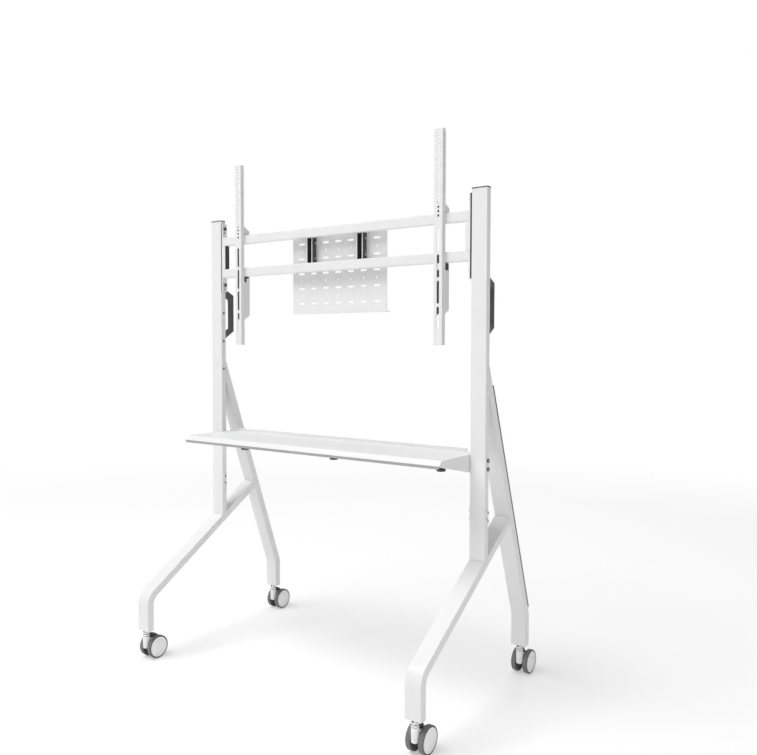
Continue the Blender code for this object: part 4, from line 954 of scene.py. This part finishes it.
def add_screws():
    """The screws of legs and shelf on the columns, and those on the end brackets."""
    for side, sign in SIDES:
        low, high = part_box(f"{side}_column")
        middle_y = (low.y + high.y) / 2
        inner_x, outer_x = (low.x, high.x) if sign > 0 else (high.x, low.x)
        for number, z in enumerate(LEG_SCREW_HEIGHTS):
            for label, x, way in (("outer", outer_x, sign), ("inner", inner_x, -sign)):
                name = f"{side}_leg_screw_{label}_{number + 1}"
                screw_head(name, (x + way * HEAD_RAISED, middle_y, z), (way, 0, 0), LEG_SCREW)
        for number, z in enumerate(SHELF_SCREW_HEIGHTS):
            name = f"{side}_shelf_screw_{number + 1}"
            place = (outer_x + sign * HEAD_RAISED, low.y + SHELF_SCREW_BACK, z)
            screw_head(name, place, (sign, 0, 0), SHELF_SCREW)
        face_x = sign * (BRACKET_FACE - HEAD_SUNK)
        for number, z in enumerate(FRAME_SCREW_HEIGHTS):
            name = f"{side}_frame_screw_{number + 1}"
            screw_head(name, (face_x, middle_y, z), (-sign, 0, 0), FRAME_SCREW)
            name = f"{side}_lock_screw_{number + 1}"
            place = (face_x, middle_y - LOCK_SCREW_FORE, z - LOCK_SCREW_BELOW)
            screw_head(name, place, (-sign, 0, 0), LOCK_SCREW)


def add_arm_parts():
    """The strips behind each arm's lower holes and slots, which paint the shade inside the arm, and
    its pads against the rails.
    """
    for side, _ in SIDES:
        low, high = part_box(f"{side}_screen_arm")
        middle_x = (low.x + high.x) / 2
        behind = low.y + STRIP_BACK
        for number, (start, end, finish) in enumerate(ARM_SHADE_STRIPS[side]):
            strip = rectangle(middle_x - STRIP_HALF, middle_x + STRIP_HALF, start, end)
            strip_mesh = prism(strip, (behind, behind + STRIP_THICKNESS), "xz")
            shade_strip = add_piece(f"{side}_arm_shade_strip_{number + 1}", strip_mesh, (finish,))
            rounded(shade_strip, width=0.3 * MM, segments=2)
            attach(shade_strip, f"{side}_arm")
        pads = []
        for rail in ("lower_rail", "upper_rail"):
            rail_low, rail_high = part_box(rail)
            heights = (rail_low.z + PAD_SHORT, rail_high.z - PAD_SHORT)
            depths = (high.y + PAD_GAPS[0], rail_low.y - PAD_GAPS[1])
            for start in (low.x + PAD_INSET, high.x - PAD_INSET - PAD_WIDTH):
                pads.append(prism(rectangle(start, start + PAD_WIDTH, *heights), depths, "xz"))
        slides = add_piece(f"{side}_arm_pads", joined(pads), (WHITE_MOULDED,))
        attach(slides, f"{side}_arm")


def add_shelf_lip_shade():
    """A grey strip along the shelf's front lip: painted shade of the lip under the nose."""
    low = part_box("shelf")[0]
    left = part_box("left_column")[1].x + LIP_SHADE_SHORT
    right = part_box("right_column")[0].x - LIP_SHADE_SHORT
    lip = rectangle(low.y + LIP_SHADE_DEPTHS[0], low.y + LIP_SHADE_DEPTHS[1], *LIP_SHADE_HEIGHTS)
    lip_shade = add_piece("shelf_lip_shade", prism(lip, (left, right), "yz"), (LIP_SHADE_GREY,))
    rounded(lip_shade, width=0.4 * MM, segments=2)
    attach(lip_shade, "cart_frame")


def add_hanger_parts():
    """Painted highlights down the front edges of each hanger, and two small screws on each of its
    sides.
    """
    for side, _ in SIDES:
        low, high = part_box(f"{side}_hanger_bracket")
        rail_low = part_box("lower_rail")[1].z + HIGHLIGHT_SHORT
        rail_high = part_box("upper_rail")[0].z - HIGHLIGHT_SHORT
        depths = (low.y + HIGHLIGHT_DEPTHS[0], low.y + HIGHLIGHT_DEPTHS[1])
        highlight_strips = []
        # White strips down both front edges paint the highlight on the hanger's edges
        for start in (low.x, high.x - HIGHLIGHT_WIDTH):
            edge = rectangle(start, start + HIGHLIGHT_WIDTH, rail_low, rail_high)
            highlight_strips.append(prism(edge, depths, "xz"))
        edge_highlights = add_piece(f"{side}_hanger_edge_highlights", joined(highlight_strips), (WHITE_MOULDED,))
        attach(edge_highlights, "cart_frame")
        for label, x, way in (("outer", low.x, -1), ("inner", high.x, 1)):
            for number, z in enumerate(HANGER_SCREW_HEIGHTS):
                name = f"{side}_hanger_screw_{label}_{number + 1}"
                place = (x - way * HEAD_SUNK, low.y + HANGER_SCREW_BACK, z)
                screw_head(name, place, (way, 0, 0), HANGER_SCREW)


def seen_by(words, first, second):
    """1 for either kind of ray that is named, 0 for the others."""
    path = words.add("ShaderNodeLightPath")
    either = words.add("ShaderNodeMath", operation="MAXIMUM")
    words.link(path.outputs[first], either.inputs[0])
    words.link(path.outputs[second], either.inputs[1])
    return either.outputs["Value"]


def add_floor():
    """A round floor that takes the shadow and turns into the background's plain white."""
    shape = bmesh.new()
    bmesh.ops.create_circle(shape, cap_ends=True, segments=FLOOR_STEPS, radius=FLOOR_RADIUS)
    mesh = bpy.data.meshes.new("floor")
    shape.to_mesh(mesh)
    shape.free()
    floor = bpy.data.objects.new("floor", mesh)
    scene.collection.objects.link(floor)
    floor.location = (0.0, 0.0, cad_low.z - FLOOR_DROP)
    material = bpy.data.materials.new("pale_floor")
    material.use_nodes = True
    tree = material.node_tree
    words = Nodes(tree)
    output = tree.nodes["Material Output"]
    tree.nodes.remove(tree.nodes["Principled BSDF"])
    diffuse = words.add("ShaderNodeBsdfDiffuse")
    diffuse.inputs["Color"].default_value = FLOOR_COLOUR
    plain = words.add("ShaderNodeEmission")
    plain.inputs["Color"].default_value = PLAIN_WHITE
    plain.inputs["Strength"].default_value = 1.0
    place = words.add("ShaderNodeTexCoord").outputs["Object"]
    length = words.add("ShaderNodeVectorMath", operation="LENGTH")
    words.link(place, length.inputs[0])
    far = words.add("ShaderNodeMapRange", interpolation_type="SMOOTHSTEP")
    words.link(length.outputs["Value"], far.inputs["Value"])
    far.inputs["From Min"].default_value = FLOOR_NEAR
    far.inputs["From Max"].default_value = FLOOR_FAR
    least = words.add("ShaderNodeMath", operation="MAXIMUM")
    words.link(far.outputs["Result"], least.inputs[0])
    least.inputs[1].default_value = FLOOR_PLAIN
    seen = seen_by(words, "Is Camera Ray", "Is Glossy Ray")
    share = words.add("ShaderNodeMath", operation="MULTIPLY")
    words.link(least.outputs["Value"], share.inputs[0])
    words.link(seen, share.inputs[1])
    mix = words.add("ShaderNodeMixShader")
    words.link(share.outputs["Value"], mix.inputs["Fac"])
    words.link(diffuse.outputs["BSDF"], mix.inputs[1])
    words.link(plain.outputs["Emission"], mix.inputs[2])
    words.link(mix.outputs["Shader"], output.inputs["Surface"])
    mesh.materials.append(material)


def add_world():
    """An even light from all round, which the camera sees as plain white."""
    world = bpy.data.worlds.new("studio")
    scene.world = world
    world.use_nodes = True
    words = Nodes(world.node_tree)
    output = world.node_tree.nodes["World Output"]
    soft = world.node_tree.nodes["Background"]
    soft.inputs["Color"].default_value = PLAIN_WHITE
    soft.inputs["Strength"].default_value = WORLD_STRENGTH
    white = words.add("ShaderNodeBackground")
    white.inputs["Color"].default_value = PLAIN_WHITE
    white.inputs["Strength"].default_value = 1.0
    seen = seen_by(words, "Is Camera Ray", "Is Transmission Ray")
    mix = words.add("ShaderNodeMixShader")
    words.link(seen, mix.inputs["Fac"])
    words.link(soft.outputs["Background"], mix.inputs[1])
    words.link(white.outputs["Background"], mix.inputs[2])
    words.link(mix.outputs["Shader"], output.inputs["Surface"])


def add_lamp(name, place, target, size, power):
    """A round lamp that points at its target."""
    lamp = bpy.data.lights.new(name, "AREA")
    lamp.shape = "DISK"
    lamp.size = size
    lamp.energy = power
    holder = bpy.data.objects.new(name, lamp)
    scene.collection.objects.link(holder)
    holder.location = place
    aim = Vector(target) - Vector(place)
    holder.rotation_mode = "QUATERNION"
    holder.rotation_quaternion = aim.to_track_quat("-Z", "Y")


def add_camera():
    """The photograph's own view."""
    camera = bpy.data.cameras.new("camera")
    camera.sensor_fit = "HORIZONTAL"
    camera.sensor_width = SENSOR_WIDTH
    camera.lens = CAMERA_LENS
    camera.shift_y = CAMERA_SHIFT
    camera.clip_start, camera.clip_end = CAMERA_CLIP
    holder = bpy.data.objects.new("camera", camera)
    scene.collection.objects.link(holder)
    turn = Matrix.Rotation(CAMERA_TURN, 4, "Z") @ Matrix.Rotation(CAMERA_TILT, 4, "X")
    roll = Matrix.Rotation(CAMERA_ROLL, 4, "Z")
    holder.matrix_world = Matrix.Translation(Vector(CAMERA_PLACE)) @ turn @ roll
    scene.camera = holder


finish_nodes()
for corner_name in CORNERS:
    add_mount(corner_name)
    add_hood(corner_name)
    add_pedal(corner_name)
    for side_name, side_sign in SIDES:
        add_wheel(corner_name, side_name, side_sign)
add_screws()
add_shelf_lip_shade()
add_hanger_parts()
add_arm_parts()

add_camera()
add_floor()
add_world()
for lamp_values in LAMPS:
    add_lamp(*lamp_values)
scene.view_settings.view_transform = "Standard"
